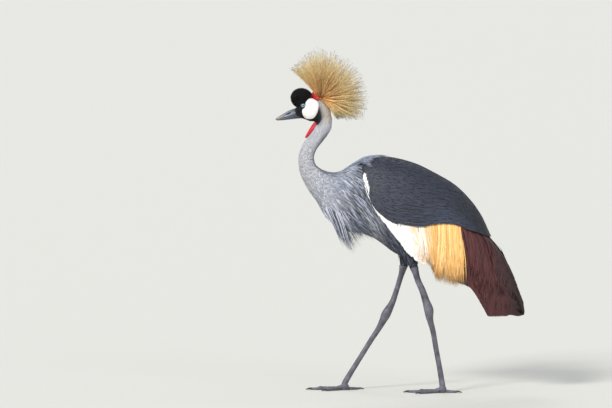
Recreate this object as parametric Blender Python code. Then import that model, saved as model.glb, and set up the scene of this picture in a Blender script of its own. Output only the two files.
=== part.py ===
"""A grey crowned crane, life size, walking: a still model such as a museum shows.

Metres, +Z up. The bird faces -X, its left side is towards -Y, and its soles stand on Z = 0.
Each named piece is one closed solid. Pieces that touch keep GAP between their faces.
"""

import math

import bmesh
import bpy
from mathutils import Vector

GAP = 0.0003

# Heights along the bird, as (X, Z): the back line from the neck to the tips of the long wing
# feathers, and the belly line from the breast to the rump.
BACK_LINE = (
    (-0.225, 0.570), (-0.205, 0.582), (-0.188, 0.592), (-0.160, 0.602), (-0.123, 0.627),
    (-0.088, 0.642), (-0.052, 0.6445), (-0.012, 0.638), (0.043, 0.623), (0.097, 0.597),
    (0.152, 0.5645), (0.192, 0.526), (0.225, 0.480), (0.252, 0.422), (0.282, 0.374),
    (0.309, 0.322), (0.328, 0.268), (0.3375, 0.215),
)
BELLY_LINE = (
    (-0.225, 0.515), (-0.205, 0.480), (-0.188, 0.463), (-0.161, 0.450), (-0.120, 0.437),
    (-0.080, 0.427), (-0.050, 0.407), (-0.022, 0.383), (0.016, 0.363), (0.050, 0.351),
    (0.095, 0.353), (0.130, 0.372), (0.160, 0.410), (0.186, 0.455),
)
# Half widths from above, as (X, half width): the trunk, and the folded wings round it.
TRUNK_HALF_WIDTH = (
    (-0.225, 0.024), (-0.205, 0.043), (-0.188, 0.052), (-0.161, 0.060), (-0.123, 0.066),
    (-0.088, 0.069), (-0.050, 0.073), (-0.012, 0.078), (0.043, 0.081), (0.095, 0.073),
    (0.130, 0.060), (0.160, 0.042), (0.186, 0.020),
)
WING_HALF_WIDTH = (
    (-0.110, 0.074), (-0.088, 0.084), (-0.060, 0.091), (-0.020, 0.098), (0.030, 0.103),
    (0.080, 0.102), (0.130, 0.095), (0.180, 0.081), (0.220, 0.067), (0.250, 0.058),
    (0.290, 0.049), (0.320, 0.041), (0.338, 0.032),
)
# The trunk lies this far under the back line where the wings cover it.
WING_COVER = 0.012
# The wing's side surface hangs to this height, and is widest at WING_MID of its height.
WING_HANG_LINE = ((-0.110, 0.290), (0.150, 0.280), (0.200, 0.250), (0.240, 0.196), (0.338, 0.192))
WING_MID = 0.5
WING_ROUND = 2.3
WING_TUCK = 0.45
WING_LOWER_SHARE = 0.4
TRUNK_ROUND = 2.2
# The bed of the plumes on the trunk floats this far over its true curve, clear of its facets.
SLAB_LIFT = 0.0016

# Neck, from inside the head to inside the trunk: (X, Z, half depth, half width).
NECK = (
    (-0.2050, 0.7550, 0.0180, 0.0170), (-0.2025, 0.7300, 0.0240, 0.0205),
    (-0.2200, 0.6980, 0.0212, 0.0190), (-0.2405, 0.6715, 0.0208, 0.0190),
    (-0.2515, 0.6460, 0.0218, 0.0200), (-0.2520, 0.6240, 0.0232, 0.0215),
    (-0.2450, 0.6010, 0.0272, 0.0245), (-0.2270, 0.5780, 0.0365, 0.0315),
    (-0.1985, 0.5560, 0.0490, 0.0420), (-0.1500, 0.5400, 0.0620, 0.0480),
)
NECK_RINGS, NECK_SIDES = 16, 12

# Head, in upright sections from the bill's base to the nape: (X, Z, half height, half width).
HEAD = (
    (-0.2850, 0.7580, 0.0130, 0.0085), (-0.2780, 0.7610, 0.0170, 0.0120),
    (-0.2680, 0.7665, 0.0220, 0.0155), (-0.2560, 0.7700, 0.0280, 0.0188),
    (-0.2430, 0.7690, 0.0335, 0.0212), (-0.2290, 0.7675, 0.0325, 0.0222),
    (-0.2160, 0.7650, 0.0310, 0.0220), (-0.2030, 0.7620, 0.0265, 0.0205),
    (-0.1920, 0.7570, 0.0190, 0.0170), (-0.1850, 0.7530, 0.0110, 0.0110),
)
EYE = (-0.2605, 0.0142, 0.7795)
EYE_RADIUS = 0.0062
LID_THICK = 0.0014
LID_OPENING = 0.0047
CAP_CENTRE, CAP_RADII, CAP_TILT = (-0.2645, 0, 0.7985), (0.0295, 0.0205, 0.0265), 0.25
PATCH_THICK = 0.0016
CHEEK_OUTLINE = (
    (-0.2420, 0.8000), (-0.2310, 0.7970), (-0.2205, 0.7900), (-0.2180, 0.7800),
    (-0.2215, 0.7620), (-0.2310, 0.7460), (-0.2450, 0.7420), (-0.2570, 0.7460),
    (-0.2630, 0.7560), (-0.2635, 0.7680), (-0.2560, 0.7750), (-0.2540, 0.7880),
)
RED_OUTLINE = (
    (-0.2410, 0.8012), (-0.2370, 0.8160), (-0.2260, 0.8120), (-0.2190, 0.8020),
    (-0.2188, 0.7930), (-0.2305, 0.7984),
)
# Bill halves, from the base to the tip: (X, upper edge, lower edge, half width).
MOUTH_LINE = ((-0.3355, 0.7405), (-0.3150, 0.7447), (-0.2960, 0.7490), (-0.2660, 0.7565))
BILL_UPPER = (
    (-0.2700, 0.7745, 0.0098), (-0.2860, 0.7706, 0.0084), (-0.3020, 0.7640, 0.0066),
    (-0.3155, 0.7560, 0.0050), (-0.3280, 0.7482, 0.0034), (-0.3345, 0.7432, 0.0018),
)
BILL_LOWER = (
    (-0.2700, 0.7440, 0.0094), (-0.2860, 0.7424, 0.0078), (-0.3020, 0.7404, 0.0060),
    (-0.3155, 0.7390, 0.0044), (-0.3280, 0.7383, 0.0028), (-0.3330, 0.7386, 0.0016),
)
BILL_TIP = (-0.3362, 0.7412)
NOSTRIL = (-0.3005, 0.7570)
# The red throat wattle, down its middle: (X, Z, half depth, half width).
WATTLE = (
    (-0.2235, 0.7330, 0.0060, 0.0070), (-0.2300, 0.7235, 0.0075, 0.0080),
    (-0.2400, 0.7100, 0.0068, 0.0072), (-0.2490, 0.6990, 0.0056, 0.0060),
    (-0.2545, 0.6915, 0.0030, 0.0034),
)

# Crest: bristles spread from a small mound behind the cap.
CREST_ROOT = (-0.2140, 0, 0.7985)
CREST_MOUND = (0.0130, 0.0100, 0.0080)
CREST_REACH = 0.132
CREST_LEAN = 0.70
CREST_SPREAD = 1.50
CREST_FLATTEN = 0.58
BRISTLE_RADIUS = 0.00062
BRISTLE_PAIRS = 32
PAIR_GAP = 0.0012

# Legs, from the thigh inside the trunk to the toe joint: (X, Z, half depth, half width).
# The left leg trails and the right leg leads.
LEFT_LEG = (
    (0.0330, 0.4000, 0.0330, 0.0230), (0.0345, 0.3750, 0.0260, 0.0200),
    (0.0370, 0.3520, 0.0150, 0.0140), (0.0440, 0.3280, 0.0095, 0.0090),
    (0.0511, 0.3046, 0.0083, 0.0078), (0.0631, 0.2774, 0.0090, 0.0082),
    (0.0721, 0.2502, 0.0102, 0.0092), (0.0800, 0.2260, 0.0128, 0.0110),
    (0.0822, 0.2060, 0.0104, 0.0094), (0.0857, 0.1900, 0.0082, 0.0070),
    (0.0925, 0.1640, 0.0074, 0.0062), (0.1000, 0.1200, 0.0072, 0.0060),
    (0.1075, 0.0800, 0.0072, 0.0060), (0.1135, 0.0460, 0.0076, 0.0066),
    (0.1175, 0.0180, 0.0082, 0.0078),
)
RIGHT_LEG = (
    (0.0240, 0.4000, 0.0330, 0.0230), (0.0210, 0.3760, 0.0270, 0.0205),
    (0.0160, 0.3520, 0.0155, 0.0140), (0.0100, 0.3250, 0.0090, 0.0086),
    (0.0035, 0.3030, 0.0074, 0.0074), (-0.0060, 0.2720, 0.0074, 0.0074),
    (-0.0170, 0.2400, 0.0086, 0.0082), (-0.0340, 0.2080, 0.0126, 0.0110),
    (-0.0425, 0.1905, 0.0102, 0.0092), (-0.0545, 0.1680, 0.0080, 0.0070),
    (-0.0735, 0.1390, 0.0072, 0.0062), (-0.0940, 0.1060, 0.0070, 0.0060),
    (-0.1150, 0.0720, 0.0070, 0.0060), (-0.1330, 0.0430, 0.0075, 0.0066),
    (-0.1470, 0.0180, 0.0082, 0.0078),
)
LEG_Y = 0.040
THIGH_END, ANKLE, TOE_JOINT = 3 / 14, 7 / 14, 1
# Toes: (turn from straight ahead in degrees, length, radius). A positive turn is outwards.
TOES = ((0, 0.092, 0.0056), (32, 0.074, 0.0050), (-36, 0.064, 0.0050), (168, 0.040, 0.0046))
HUB_RADIUS, HUB_TOP = 0.0115, 0.0150
CLAW_LENGTH = 0.015


def smooth(table, x, column=1):
    """The value at x on a curve through a table's rows, with no overshoot between them."""
    if x <= table[0][0]:
        return table[0][column]
    if x >= table[-1][0]:
        return table[-1][column]
    slopes = [
        (b[column] - a[column]) / (b[0] - a[0]) for a, b in zip(table, table[1:])
    ]
    i = next(n for n, row in enumerate(table[1:]) if x <= row[0])

    def tangent(n):
        if n in (0, len(slopes)):
            return slopes[min(n, len(slopes) - 1)]
        before, after = slopes[n - 1], slopes[n]
        if before * after <= 0:
            return 0.0
        return 2 * before * after / (before + after)

    a, b = table[i], table[i + 1]
    width = b[0] - a[0]
    t = (x - a[0]) / width
    return (
        (1 + 2 * t) * (1 - t) ** 2 * a[column]
        + t * (1 - t) ** 2 * width * tangent(i)
        + t * t * (3 - 2 * t) * b[column]
        + t * t * (t - 1) * width * tangent(i + 1)
    )


def ease(low, high, x):
    """0 below low, 1 above high, and smooth between them."""
    t = min(1.0, max(0.0, (x - low) / (high - low)))
    return t * t * (3 - 2 * t)


def material(name, colour, roughness):
    """One Principled finish, made once and shared."""
    made = bpy.data.materials.get(name)
    if made is None:
        made = bpy.data.materials.new(name)
        made.use_nodes = True
        shader = made.node_tree.nodes["Principled BSDF"]
        shader.inputs["Base Color"].default_value = (*colour, 1)
        shader.inputs["Roughness"].default_value = roughness
        shader.inputs["Metallic"].default_value = 0
    return made


def slate():
    return material("slate_plumage", (0.07, 0.085, 0.11), 0.8)


def pale_grey():
    return material("pale_grey_plumage", (0.42, 0.46, 0.52), 0.85)


def white():
    return material("white_plumage", (0.85, 0.83, 0.80), 0.8)


def gold():
    return material("gold_plumage", (0.80, 0.48, 0.16), 0.75)


def chestnut():
    return material("chestnut_plumage", (0.075, 0.018, 0.016), 0.75)


def black():
    return material("black_plumage", (0.006, 0.006, 0.007), 0.9)


def straw():
    return material("straw_crest", (0.65, 0.42, 0.17), 0.7)


def horn():
    return material("bill_horn", (0.05, 0.055, 0.065), 0.45)


def leg_skin():
    return material("leg_skin", (0.07, 0.07, 0.085), 0.6)


def claw_horn():
    return material("claw_horn", (0.02, 0.02, 0.022), 0.4)


def cheek_skin():
    return material("white_cheek_skin", (0.88, 0.86, 0.84), 0.6)


def red_skin():
    return material("red_wattle_skin", (0.75, 0.01, 0.02), 0.45)


def iris():
    return material("pale_iris", (0.45, 0.58, 0.68), 0.1)


def drop(obj):
    """Removes an object and its mesh."""
    mesh = obj.data
    bpy.data.objects.remove(obj)
    bpy.data.meshes.remove(mesh)


def solid(name, shape, finish=None, collection=None):
    """An object from a bmesh, in triangles with its faces pointing out."""
    bmesh.ops.triangulate(shape, faces=shape.faces[:])
    bmesh.ops.recalc_face_normals(shape, faces=shape.faces[:])
    if shape.calc_volume(signed=True) < 0:
        bmesh.ops.reverse_faces(shape, faces=shape.faces[:])
    mesh = bpy.data.meshes.new(name)
    shape.to_mesh(mesh)
    shape.free()
    mesh.shade_smooth()
    mesh.set_sharp_from_angle(angle=math.radians(50))
    obj = bpy.data.objects.new(name, mesh)
    (collection or bpy.context.scene.collection).objects.link(obj)
    if finish is not None:
        mesh.materials.append(finish)
    return obj


def lofted(rings, tip=None):
    """A bmesh through closed rings of equal length, capped flat, or run to a point at the end."""
    shape = bmesh.new()
    rows = [[shape.verts.new(p) for p in ring] for ring in rings]
    count = len(rows[0])
    for a, b in zip(rows, rows[1:]):
        for i in range(count):
            j = (i + 1) % count
            shape.faces.new((a[i], a[j], b[j], b[i]))
    shape.faces.new(rows[0][::-1])
    if tip is None:
        shape.faces.new(rows[-1])
    else:
        point = shape.verts.new(tip)
        for i in range(count):
            shape.faces.new((rows[-1][i], rows[-1][(i + 1) % count], point))
    return shape


def paint(obj, finish):
    """Leaves obj with one finish all over."""
    obj.data.materials.clear()
    obj.data.materials.append(finish)
    for face in obj.data.polygons:
        face.material_index = 0
    return obj


def boolean(obj, other, operation, solver="EXACT"):
    """Applies one Boolean to obj. The other is an object, or a collection for a union."""
    modifier = obj.modifiers.new(operation.lower(), "BOOLEAN")
    modifier.operation = operation
    modifier.solver = solver
    if isinstance(other, bpy.types.Collection):
        modifier.operand_type = "COLLECTION"
        modifier.collection = other
    else:
        modifier.object = other
    bpy.context.view_layer.update()
    graph = bpy.context.evaluated_depsgraph_get()
    made = bpy.data.meshes.new_from_object(obj.evaluated_get(graph))
    old = obj.data
    obj.modifiers.clear()
    obj.data = made
    made.name = old.name
    bpy.data.meshes.remove(old)
    return obj


def keep_largest(obj):
    """Keeps the one closed surface of the greatest volume."""
    shape = bmesh.new()
    shape.from_mesh(obj.data)
    unseen = set(shape.verts)
    bodies = []
    while unseen:
        seed = unseen.pop()
        body, edge = {seed}, [seed]
        while edge:
            for link in edge.pop().link_edges:
                for vert in link.verts:
                    if vert in unseen:
                        unseen.discard(vert)
                        body.add(vert)
                        edge.append(vert)
        bodies.append(body)

    def volume(body):
        faces = {f for v in body for f in v.link_faces}
        total = 0.0
        for face in faces:
            a = face.verts[0].co
            for b, c in zip(face.verts[1:], face.verts[2:]):
                total += a.dot(b.co.cross(c.co))
        return total

    largest = max(bodies, key=volume)
    loose = [v for v in shape.verts if v not in largest]
    bmesh.ops.delete(shape, geom=loose, context="VERTS")
    bmesh.ops.triangulate(shape, faces=shape.faces[:])
    shape.to_mesh(obj.data)
    shape.free()
    return obj


def carve(obj, *cutters):
    """Cuts each cutter from obj. The cutters are kept."""
    for cutter in cutters:
        boolean(obj, cutter, "DIFFERENCE")
    return keep_largest(obj)


def bisect(obj, point, normal):
    """Cuts obj by a plane and keeps what is on the normal's side, with the cut closed."""
    shape = bmesh.new()
    shape.from_mesh(obj.data)
    found = bmesh.ops.bisect_plane(
        shape, geom=shape.verts[:] + shape.edges[:] + shape.faces[:], dist=1e-7,
        plane_co=point, plane_no=normal, clear_inner=True,
    )
    rim = [e for e in found["geom_cut"] if isinstance(e, bmesh.types.BMEdge)]
    bmesh.ops.holes_fill(shape, edges=rim)
    bmesh.ops.triangulate(shape, faces=shape.faces[:])
    bmesh.ops.recalc_face_normals(shape, faces=shape.faces[:])
    shape.to_mesh(obj.data)
    shape.free()
    return obj


def rounded(angle, power):
    """The cosine and sine of a superellipse."""
    c, s = math.cos(angle), math.sin(angle)
    return (
        math.copysign(abs(c) ** (2 / power), c),
        math.copysign(abs(s) ** (2 / power), s),
    )


def section(x, z, half_height, half_width, sides, power):
    """An upright ring at x."""
    ring = []
    for i in range(sides):
        c, s = rounded(2 * math.pi * i / sides, power)
        ring.append(Vector((x, half_width * c, z + half_height * s)))
    return ring


def upright_tube(name, stations, sides, power, finish=None, grow=0.0):
    """A body in upright sections. Grow swells it all round, for a cutter."""
    first, last = stations[0], stations[-1]
    rows = [(first[0] - grow, *first[1:])] + list(stations[1:-1])
    rows.append((last[0] + grow, *last[1:]))
    rings = [
        section(x, z, high + grow, wide + grow, sides, power)
        for x, z, high, wide in rows
    ]
    return solid(name, lofted(rings), finish)


def ellipsoid(name, centre, radii, finish=None, grow=0.0, segments=16, rings=10, tilt=0.0):
    """A ball squashed to three radii and turned by tilt about Y."""
    shape = bmesh.new()
    bmesh.ops.create_uvsphere(shape, u_segments=segments, v_segments=rings, radius=1)
    turned = math.cos(tilt), math.sin(tilt)
    for vert in shape.verts:
        x, y, z = (c * (r + grow) for c, r in zip(vert.co, radii))
        vert.co = Vector(centre) + Vector(
            (x * turned[0] + z * turned[1], y, z * turned[0] - x * turned[1])
        )
    return solid(name, shape, finish)


# Trunk

TRUNK_COLUMNS = (
    -0.222, -0.205, -0.185, -0.155, -0.120, -0.085, -0.050, -0.015, 0.025, 0.065,
    0.105, 0.140, 0.166, 0.184,
)
TRUNK_SIDES = 18


def trunk_station(x):
    top = smooth(BACK_LINE, x) - WING_COVER * ease(-0.108, -0.078, x)
    low = smooth(BELLY_LINE, x)
    return x, (top + low) / 2, (top - low) / 2, smooth(TRUNK_HALF_WIDTH, x)


def trunk(name, finish=None, grow=0.0):
    stations = [trunk_station(x) for x in TRUNK_COLUMNS]
    return upright_tube(name, stations, TRUNK_SIDES, TRUNK_ROUND, finish, grow)


# Neck

def spline(rows, s):
    """The point at s, from 0 to 1, on a smooth curve through rows of numbers."""
    place = min(max(s, 0.0), 1.0) * (len(rows) - 1)
    i = min(int(place), len(rows) - 2)
    t = place - i
    a, b, c, d = (rows[min(max(n, 0), len(rows) - 1)] for n in range(i - 1, i + 3))
    return [
        0.5 * (2 * q + (r - p) * t + (2 * p - 5 * q + 4 * r - u) * t * t
               + (3 * q - p - 3 * r + u) * t ** 3)
        for p, q, r, u in zip(a, b, c, d)
    ]


def bent_ring(rows, s, sides, y=0.0, grow=0.0, shift=0.0, power=2.0):
    """A ring square to a path of (X, Z, half depth, half width) rows, moved by shift along it."""
    x, z, deep, wide = spline(rows, s)
    ahead, behind = spline(rows, min(1, s + 0.01)), spline(rows, max(0, s - 0.01))
    along = Vector((ahead[0] - behind[0], 0, ahead[1] - behind[1])).normalized()
    outer = Vector((-along.z, 0, along.x))
    centre = Vector((x, y, z)) + along * shift
    ring = []
    for i in range(sides):
        c, sn = rounded(2 * math.pi * i / sides, power)
        ring.append(
            centre + outer * (deep + grow) * c + Vector((0, 1, 0)) * (wide + grow) * sn
        )
    return ring


def bent_tube(name, rows, start, end, count, sides, finish=None, y=0.0, grow=0.0, cut=0.0):
    """A tube along a path of rows, from start to end, its ends drawn in by cut."""
    rings = []
    for i in range(count):
        s = start + (end - start) * i / (count - 1)
        shift = cut if i == 0 else -cut if i == count - 1 else 0.0
        rings.append(bent_ring(rows, s, sides, y, grow, shift))
    return solid(name, lofted(rings), finish)


# Wing surface: a side surface that both folded wings lie on, told by X and by a share v of the
# way up it, 0 at the hanging tips and 1 on the line of the back.

def wing_share(x, z):
    """v of the point of the side surface at x and height z."""
    low, top = smooth(WING_HANG_LINE, x), smooth(BACK_LINE, x)
    t = min(1.0, max(0.0, (z - low) / (top - low)))
    if t <= WING_MID:
        return WING_LOWER_SHARE * t / WING_MID
    rise = (t - WING_MID) / (1 - WING_MID)
    angle = math.asin(min(1.0, rise ** (WING_ROUND / 2)))
    return WING_LOWER_SHARE + (1 - WING_LOWER_SHARE) * angle / (math.pi / 2)


def wing_surface(x, v):
    low, top = smooth(WING_HANG_LINE, x), smooth(BACK_LINE, x)
    wide = smooth(WING_HALF_WIDTH, x)
    if v <= WING_LOWER_SHARE:
        t = WING_MID * v / WING_LOWER_SHARE
        y = wide * (1 - WING_TUCK * ((WING_MID - t) / WING_MID) ** 2)
    else:
        angle = (v - WING_LOWER_SHARE) / (1 - WING_LOWER_SHARE) * math.pi / 2
        t = WING_MID + (1 - WING_MID) * math.sin(angle) ** (2 / WING_ROUND)
        y = wide * max(0.0, math.cos(angle)) ** (2 / WING_ROUND)
    return Vector((x, y, low + t * (top - low)))


def wing_normal(x, v):
    v = min(max(v, 0.03), 0.97)
    along = wing_surface(x + 0.002, v) - wing_surface(x - 0.002, v)
    up = wing_surface(x, v + 0.02) - wing_surface(x, v - 0.02)
    return up.cross(along).normalized()


def wing_point(side, x, v, depth):
    """A point under the wing's side surface by depth, on the left (-1) or right (1) side."""
    normal = wing_normal(x, v)
    if v > 0.99:
        normal.y = 0
        normal.normalize()
    point = wing_surface(x, v) - normal * depth
    return Vector((point.x, point.y * side, point.z))


def wing_band(name, side, columns, low, high, outer, inner, rows, finish):
    """A curved slab on the wing's side surface, from the height low(x) to high(x), between the
    depths outer(x) and inner(x)."""
    rings = []
    for x in columns:
        first, last = wing_share(x, low(x)), wing_share(x, high(x))
        shares = [first + (last - first) * i / rows for i in range(rows + 1)]
        skin = [wing_point(side, x, v, outer(x)) for v in shares]
        under = [wing_point(side, x, v, inner(x)) for v in shares]
        rings.append(skin + under[::-1])
    made = solid(name, lofted(rings), finish)
    return bisect(made, Vector((0, side * GAP / 2, 0)), Vector((0, side, 0)))


# Wing layers, in heights along X. A layer's upper edge is tucked under the one above it by
# WING_OVERLAP.

SHIELD_EDGE = (
    (-0.091, 0.583), (-0.086, 0.550), (-0.081, 0.535), (-0.074, 0.517), (-0.063, 0.502),
    (-0.045, 0.484), (-0.025, 0.4705), (0.002, 0.458), (0.029, 0.453), (0.056, 0.4515),
    (0.097, 0.457), (0.125, 0.458), (0.152, 0.4555), (0.181, 0.441), (0.206, 0.431),
    (0.233, 0.420), (0.250, 0.414),
)
WHITE_EDGE = (
    (-0.106, 0.578), (-0.096, 0.568), (-0.085, 0.545), (-0.077, 0.524), (-0.063, 0.4995),
    (-0.047, 0.477), (-0.025, 0.447), (-0.0035, 0.4175), (0.013, 0.392), (0.024, 0.378),
    (0.043, 0.360), (0.056, 0.352), (0.074, 0.343),
)
GOLD_EDGE = (
    (0.0765, 0.347), (0.084, 0.338), (0.092, 0.327), (0.100, 0.302), (0.110, 0.292),
    (0.138, 0.284), (0.157, 0.281), (0.173, 0.285),
)
CHESTNUT_EDGE = (
    (0.165, 0.300), (0.171, 0.298), (0.195, 0.279), (0.208, 0.260), (0.222, 0.235),
    (0.236, 0.2135), (0.247, 0.202), (0.288, 0.2025), (0.301, 0.206), (0.326, 0.2025),
    (0.3393, 0.208),
)
WING_OVERLAP = 0.014
SHIELD_OUTER, SHIELD_INNER = 0.0010, 0.0085
LAYER_OUTER = SHIELD_INNER + GAP
GOLD_THICK = 0.0055
WHITE_THICK = 0.0060
CHESTNUT_THICK = 0.0110
# A layer's bed lies this far under its outermost feathers, and runs this share of the way from
# its upper edge to the tips.
FEATHER_DEEP = 0.0028
BED_REACH = 0.22


def spread(first, last, count):
    """Evenly spaced values, both ends among them."""
    return [first + (last - first) * i / (count - 1) for i in range(count)]


def shield_low(x):
    return smooth(SHIELD_EDGE, x)


def tucked(x):
    """The upper edge of a layer under the shield."""
    return min(shield_low(x) + WING_OVERLAP, smooth(BACK_LINE, x))


def shield(side, name):
    columns = [-0.0905, -0.084, -0.065] + spread(-0.035, 0.205, 7) + [0.228, 0.246]
    return wing_band(
        name, side, columns, shield_low, lambda x: smooth(BACK_LINE, x),
        lambda x: SHIELD_OUTER, lambda x: SHIELD_INNER, 6, slate(),
    )


def bed_low(edge, high):
    """The lower edge of a layer's bed, part of the way down to its tips."""
    return lambda x: high(x) + (smooth(edge, x) - high(x)) * BED_REACH


def white_coverts(side, name):
    columns = [-0.104, -0.096, -0.084, -0.068, -0.045, -0.015, 0.015, 0.045, 0.072]
    front_top = ((-0.106, 0.592), (-0.096, 0.600), (-0.080, 0.600), (-0.060, 0.545))

    def high(x):
        if x > -0.070:
            return max(smooth(front_top, x) if x < -0.040 else 0, tucked(x))
        return smooth(front_top, x)

    top = LAYER_OUTER + FEATHER_DEEP
    return wing_band(
        name, side, columns, bed_low(WHITE_EDGE, high), high,
        lambda x: top, lambda x: LAYER_OUTER + WHITE_THICK, 3, white(),
    )


def gold_plumes(side, name):
    columns = [0.078, 0.092, 0.110, 0.130, 0.150, 0.172]
    top = LAYER_OUTER + FEATHER_DEEP
    return wing_band(
        name, side, columns, bed_low(GOLD_EDGE, tucked), tucked,
        lambda x: top, lambda x: LAYER_OUTER + GOLD_THICK, 3, gold(),
    )


def chestnut_outer(x):
    """Under the gold plumes in front, and straight under the shield behind them."""
    under_gold = LAYER_OUTER + GOLD_THICK + GAP
    return under_gold + (LAYER_OUTER - under_gold) * ease(0.178, 0.196, x)


def secondaries(side, name):
    columns = [0.150, 0.172, 0.194, 0.216, 0.238, 0.256, 0.274]
    low = ((0.150, 0.405), (0.200, 0.375), (0.240, 0.340), (0.274, 0.335))

    def high(x):
        return tucked(x) if x < 0.240 else smooth(BACK_LINE, x)

    return wing_band(
        name, side, columns, lambda x: smooth(low, x), high,
        lambda x: chestnut_outer(x) + FEATHER_DEEP,
        lambda x: chestnut_outer(x) + CHESTNUT_THICK, 3, chestnut(),
    )


# Vanes, plumes and bristles

def vane(group, place, width, thick, rings, taper, roll=0.0, start=0.35):
    """A feather blade. Place gives (point, normal) for a share along it. Its half width starts
    at a part of its full width, taper says how late it narrows to the tip, and roll lifts one
    edge so that neighbours overlap like tiles."""
    step = 0.01
    rows = []
    for i in range(rings):
        s = i / rings
        point, normal = place(s)
        along = place(min(1, s + step))[0] - place(max(0, s - step))[0]
        level = normal.cross(along).normalized()
        lift = along.cross(level).normalized()
        across = level * math.cos(roll) + lift * math.sin(roll)
        lift = lift * math.cos(roll) - level * math.sin(roll)
        half = width / 2 * (start + (1 - start) * ease(0, 0.35, s)) * (1 - s ** taper)
        high = thick / 2 * (1 - 0.4 * s)
        rows.append(
            (point - across * half, point + lift * high, point + across * half,
             point - lift * high)
        )
    shape = bmesh.new()
    made = [[shape.verts.new(p) for p in row] for row in rows]
    tip = shape.verts.new(place(1)[0])
    for a, b in zip(made, made[1:]):
        for edge, ridge in ((0, 1), (2, 1), (2, 3), (0, 3)):
            shape.faces.new((a[edge], a[ridge], b[ridge]))
            shape.faces.new((a[edge], b[ridge], b[edge]))
    last = made[-1]
    for i in range(4):
        shape.faces.new((last[i], last[(i + 1) % 4], tip))
    first = made[0]
    shape.faces.new((first[0], first[1], first[2]))
    shape.faces.new((first[0], first[2], first[3]))
    return solid("vane", shape, collection=group)


def bezier(a, b, c, s):
    """A point on a curve from a to c that leans towards b."""
    return [p * (1 - s) ** 2 + 2 * q * s * (1 - s) + r * s * s for p, q, r in zip(a, b, c)]


def feathered(name, core, group, finish, solver="EXACT"):
    """Joins a core and its group of vanes into one closed surface."""
    boolean(core, group, "UNION", solver)
    for obj in list(group.objects):
        drop(obj)
    bpy.data.collections.remove(group)
    core.name = name
    return paint(keep_largest(core), finish)


def new_group(name):
    group = bpy.data.collections.new(name)
    bpy.context.scene.collection.children.link(group)
    return group


def wing_vane(group, side, root, bend, tip, width, depths, thick=0.0014, rings=4, taper=5,
              roll=0.0):
    """A vane on the wing's side surface, from root by bend to tip, each as (X, Z), sunk by the
    first of two depths at its root and by the second at its tip."""
    def place(s):
        x, z = bezier(root, bend, tip, s)
        v = wing_share(x, z)
        depth = depths[0] + (depths[1] - depths[0]) * ease(0, 0.7, s)
        point = wing_point(side, x, v, depth)
        normal = wing_normal(x, v)
        return point, Vector((normal.x, normal.y * side, normal.z))

    return vane(group, place, width, thick, rings, taper, roll * side)


def along(table, share):
    """The (X, Z) point at a share of the way along a table."""
    return spline(table, share)[:2]


def between(a, b, share):
    return [p + (q - p) * share for p, q in zip(a, b)]


def shield_feathers(side, group):
    """Long scapular feathers that fall past the lower edge, and a row of coverts above them."""
    count = 9
    for i in range(count):
        share = 0.15 + 0.83 * i / (count - 1)
        edge = along(SHIELD_EDGE, share)
        lean = between((-0.024, 0.044), (-0.056, 0.056), share)
        root = (edge[0] + lean[0], edge[1] + lean[1])
        bend = (edge[0] + lean[0] * 0.35, edge[1] + lean[1] * 0.62)
        tip = (edge[0] + 0.004, edge[1] - 0.007)
        wing_vane(group, side, root, bend, tip, 0.028, (0.0038, -0.0004), rings=3, roll=0.12)
    count = 3
    for i in range(count):
        share = 0.28 + 0.56 * i / (count - 1)
        edge = along(SHIELD_EDGE, share)
        tip = (edge[0] - 0.016, edge[1] + 0.062)
        root = (tip[0] - 0.034, tip[1] + 0.024)
        bend = (tip[0] - 0.014, tip[1] + 0.015)
        wing_vane(group, side, root, bend, tip, 0.025, (0.0036, -0.0014), rings=3, roll=0.11)


def white_feathers(side, group):
    count = 11
    for i in range(count):
        share = 0.22 + 0.77 * i / (count - 1)
        tip = along(WHITE_EDGE, share)
        start = tip[0] - 0.014
        root = (start, max(shield_low(start) + 0.008, tip[1] + 0.035))
        bend = (start + 0.004, (root[1] + tip[1]) / 2)
        wing_vane(group, side, root, bend, tip, 0.0165,
                  (LAYER_OUTER + 0.0040, LAYER_OUTER + 0.0020), rings=3, roll=0.11)


def gold_feathers(side, group):
    count = 12
    for i in range(count):
        share = i / (count - 1)
        tip = along(GOLD_EDGE, share)
        root = (0.082 + 0.080 * share, 0.444 - 0.006 * share)
        bend = (root[0] + 0.004, (root[1] + tip[1]) / 2)
        depth = LAYER_OUTER + 0.0012 + 0.0014 * (i % 2)
        wing_vane(group, side, root, bend, (tip[0], tip[1] - 0.007 * (i % 2)), 0.0092,
                  (LAYER_OUTER + 0.0034, depth), thick=0.0012, rings=3, taper=4)


def chestnut_feathers(side, group):
    count = 8
    for i in range(count):
        share = i / (count - 1)
        tip = along(CHESTNUT_EDGE[1:], share)
        root = between((0.152, 0.425), (0.236, 0.424), share)
        bend = between((0.170, 0.360), (0.300, 0.352), share)
        outer = chestnut_outer(0.166 + 0.06 * share)
        wing_vane(group, side, root, bend, tip, 0.032, (outer + 0.0042, outer + 0.0026),
                  rings=4, taper=8, roll=0.14)


def black_feathers(side, group):
    count = 4
    for i in range(count):
        share = i / (count - 1)
        tip = between((0.152, 0.304), (0.196, 0.284), share)
        root = between((0.100, 0.405), (0.146, 0.425), share)
        bend = between((0.120, 0.345), (0.172, 0.358), share)
        wing_vane(group, side, root, bend, tip, 0.018, (0.0305, 0.0300), rings=3, taper=4, roll=0.10)


def primaries(side, name):
    low = ((0.095, 0.385), (0.140, 0.395), (0.170, 0.410))
    high = ((0.095, 0.425), (0.140, 0.440), (0.170, 0.445))
    return wing_band(
        name, side, [0.096, 0.118, 0.142, 0.166], lambda x: smooth(low, x),
        lambda x: smooth(high, x), lambda x: 0.0280, lambda x: 0.0340, 2, black(),
    )


# Trunk surface, for plumes that start on it

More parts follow.
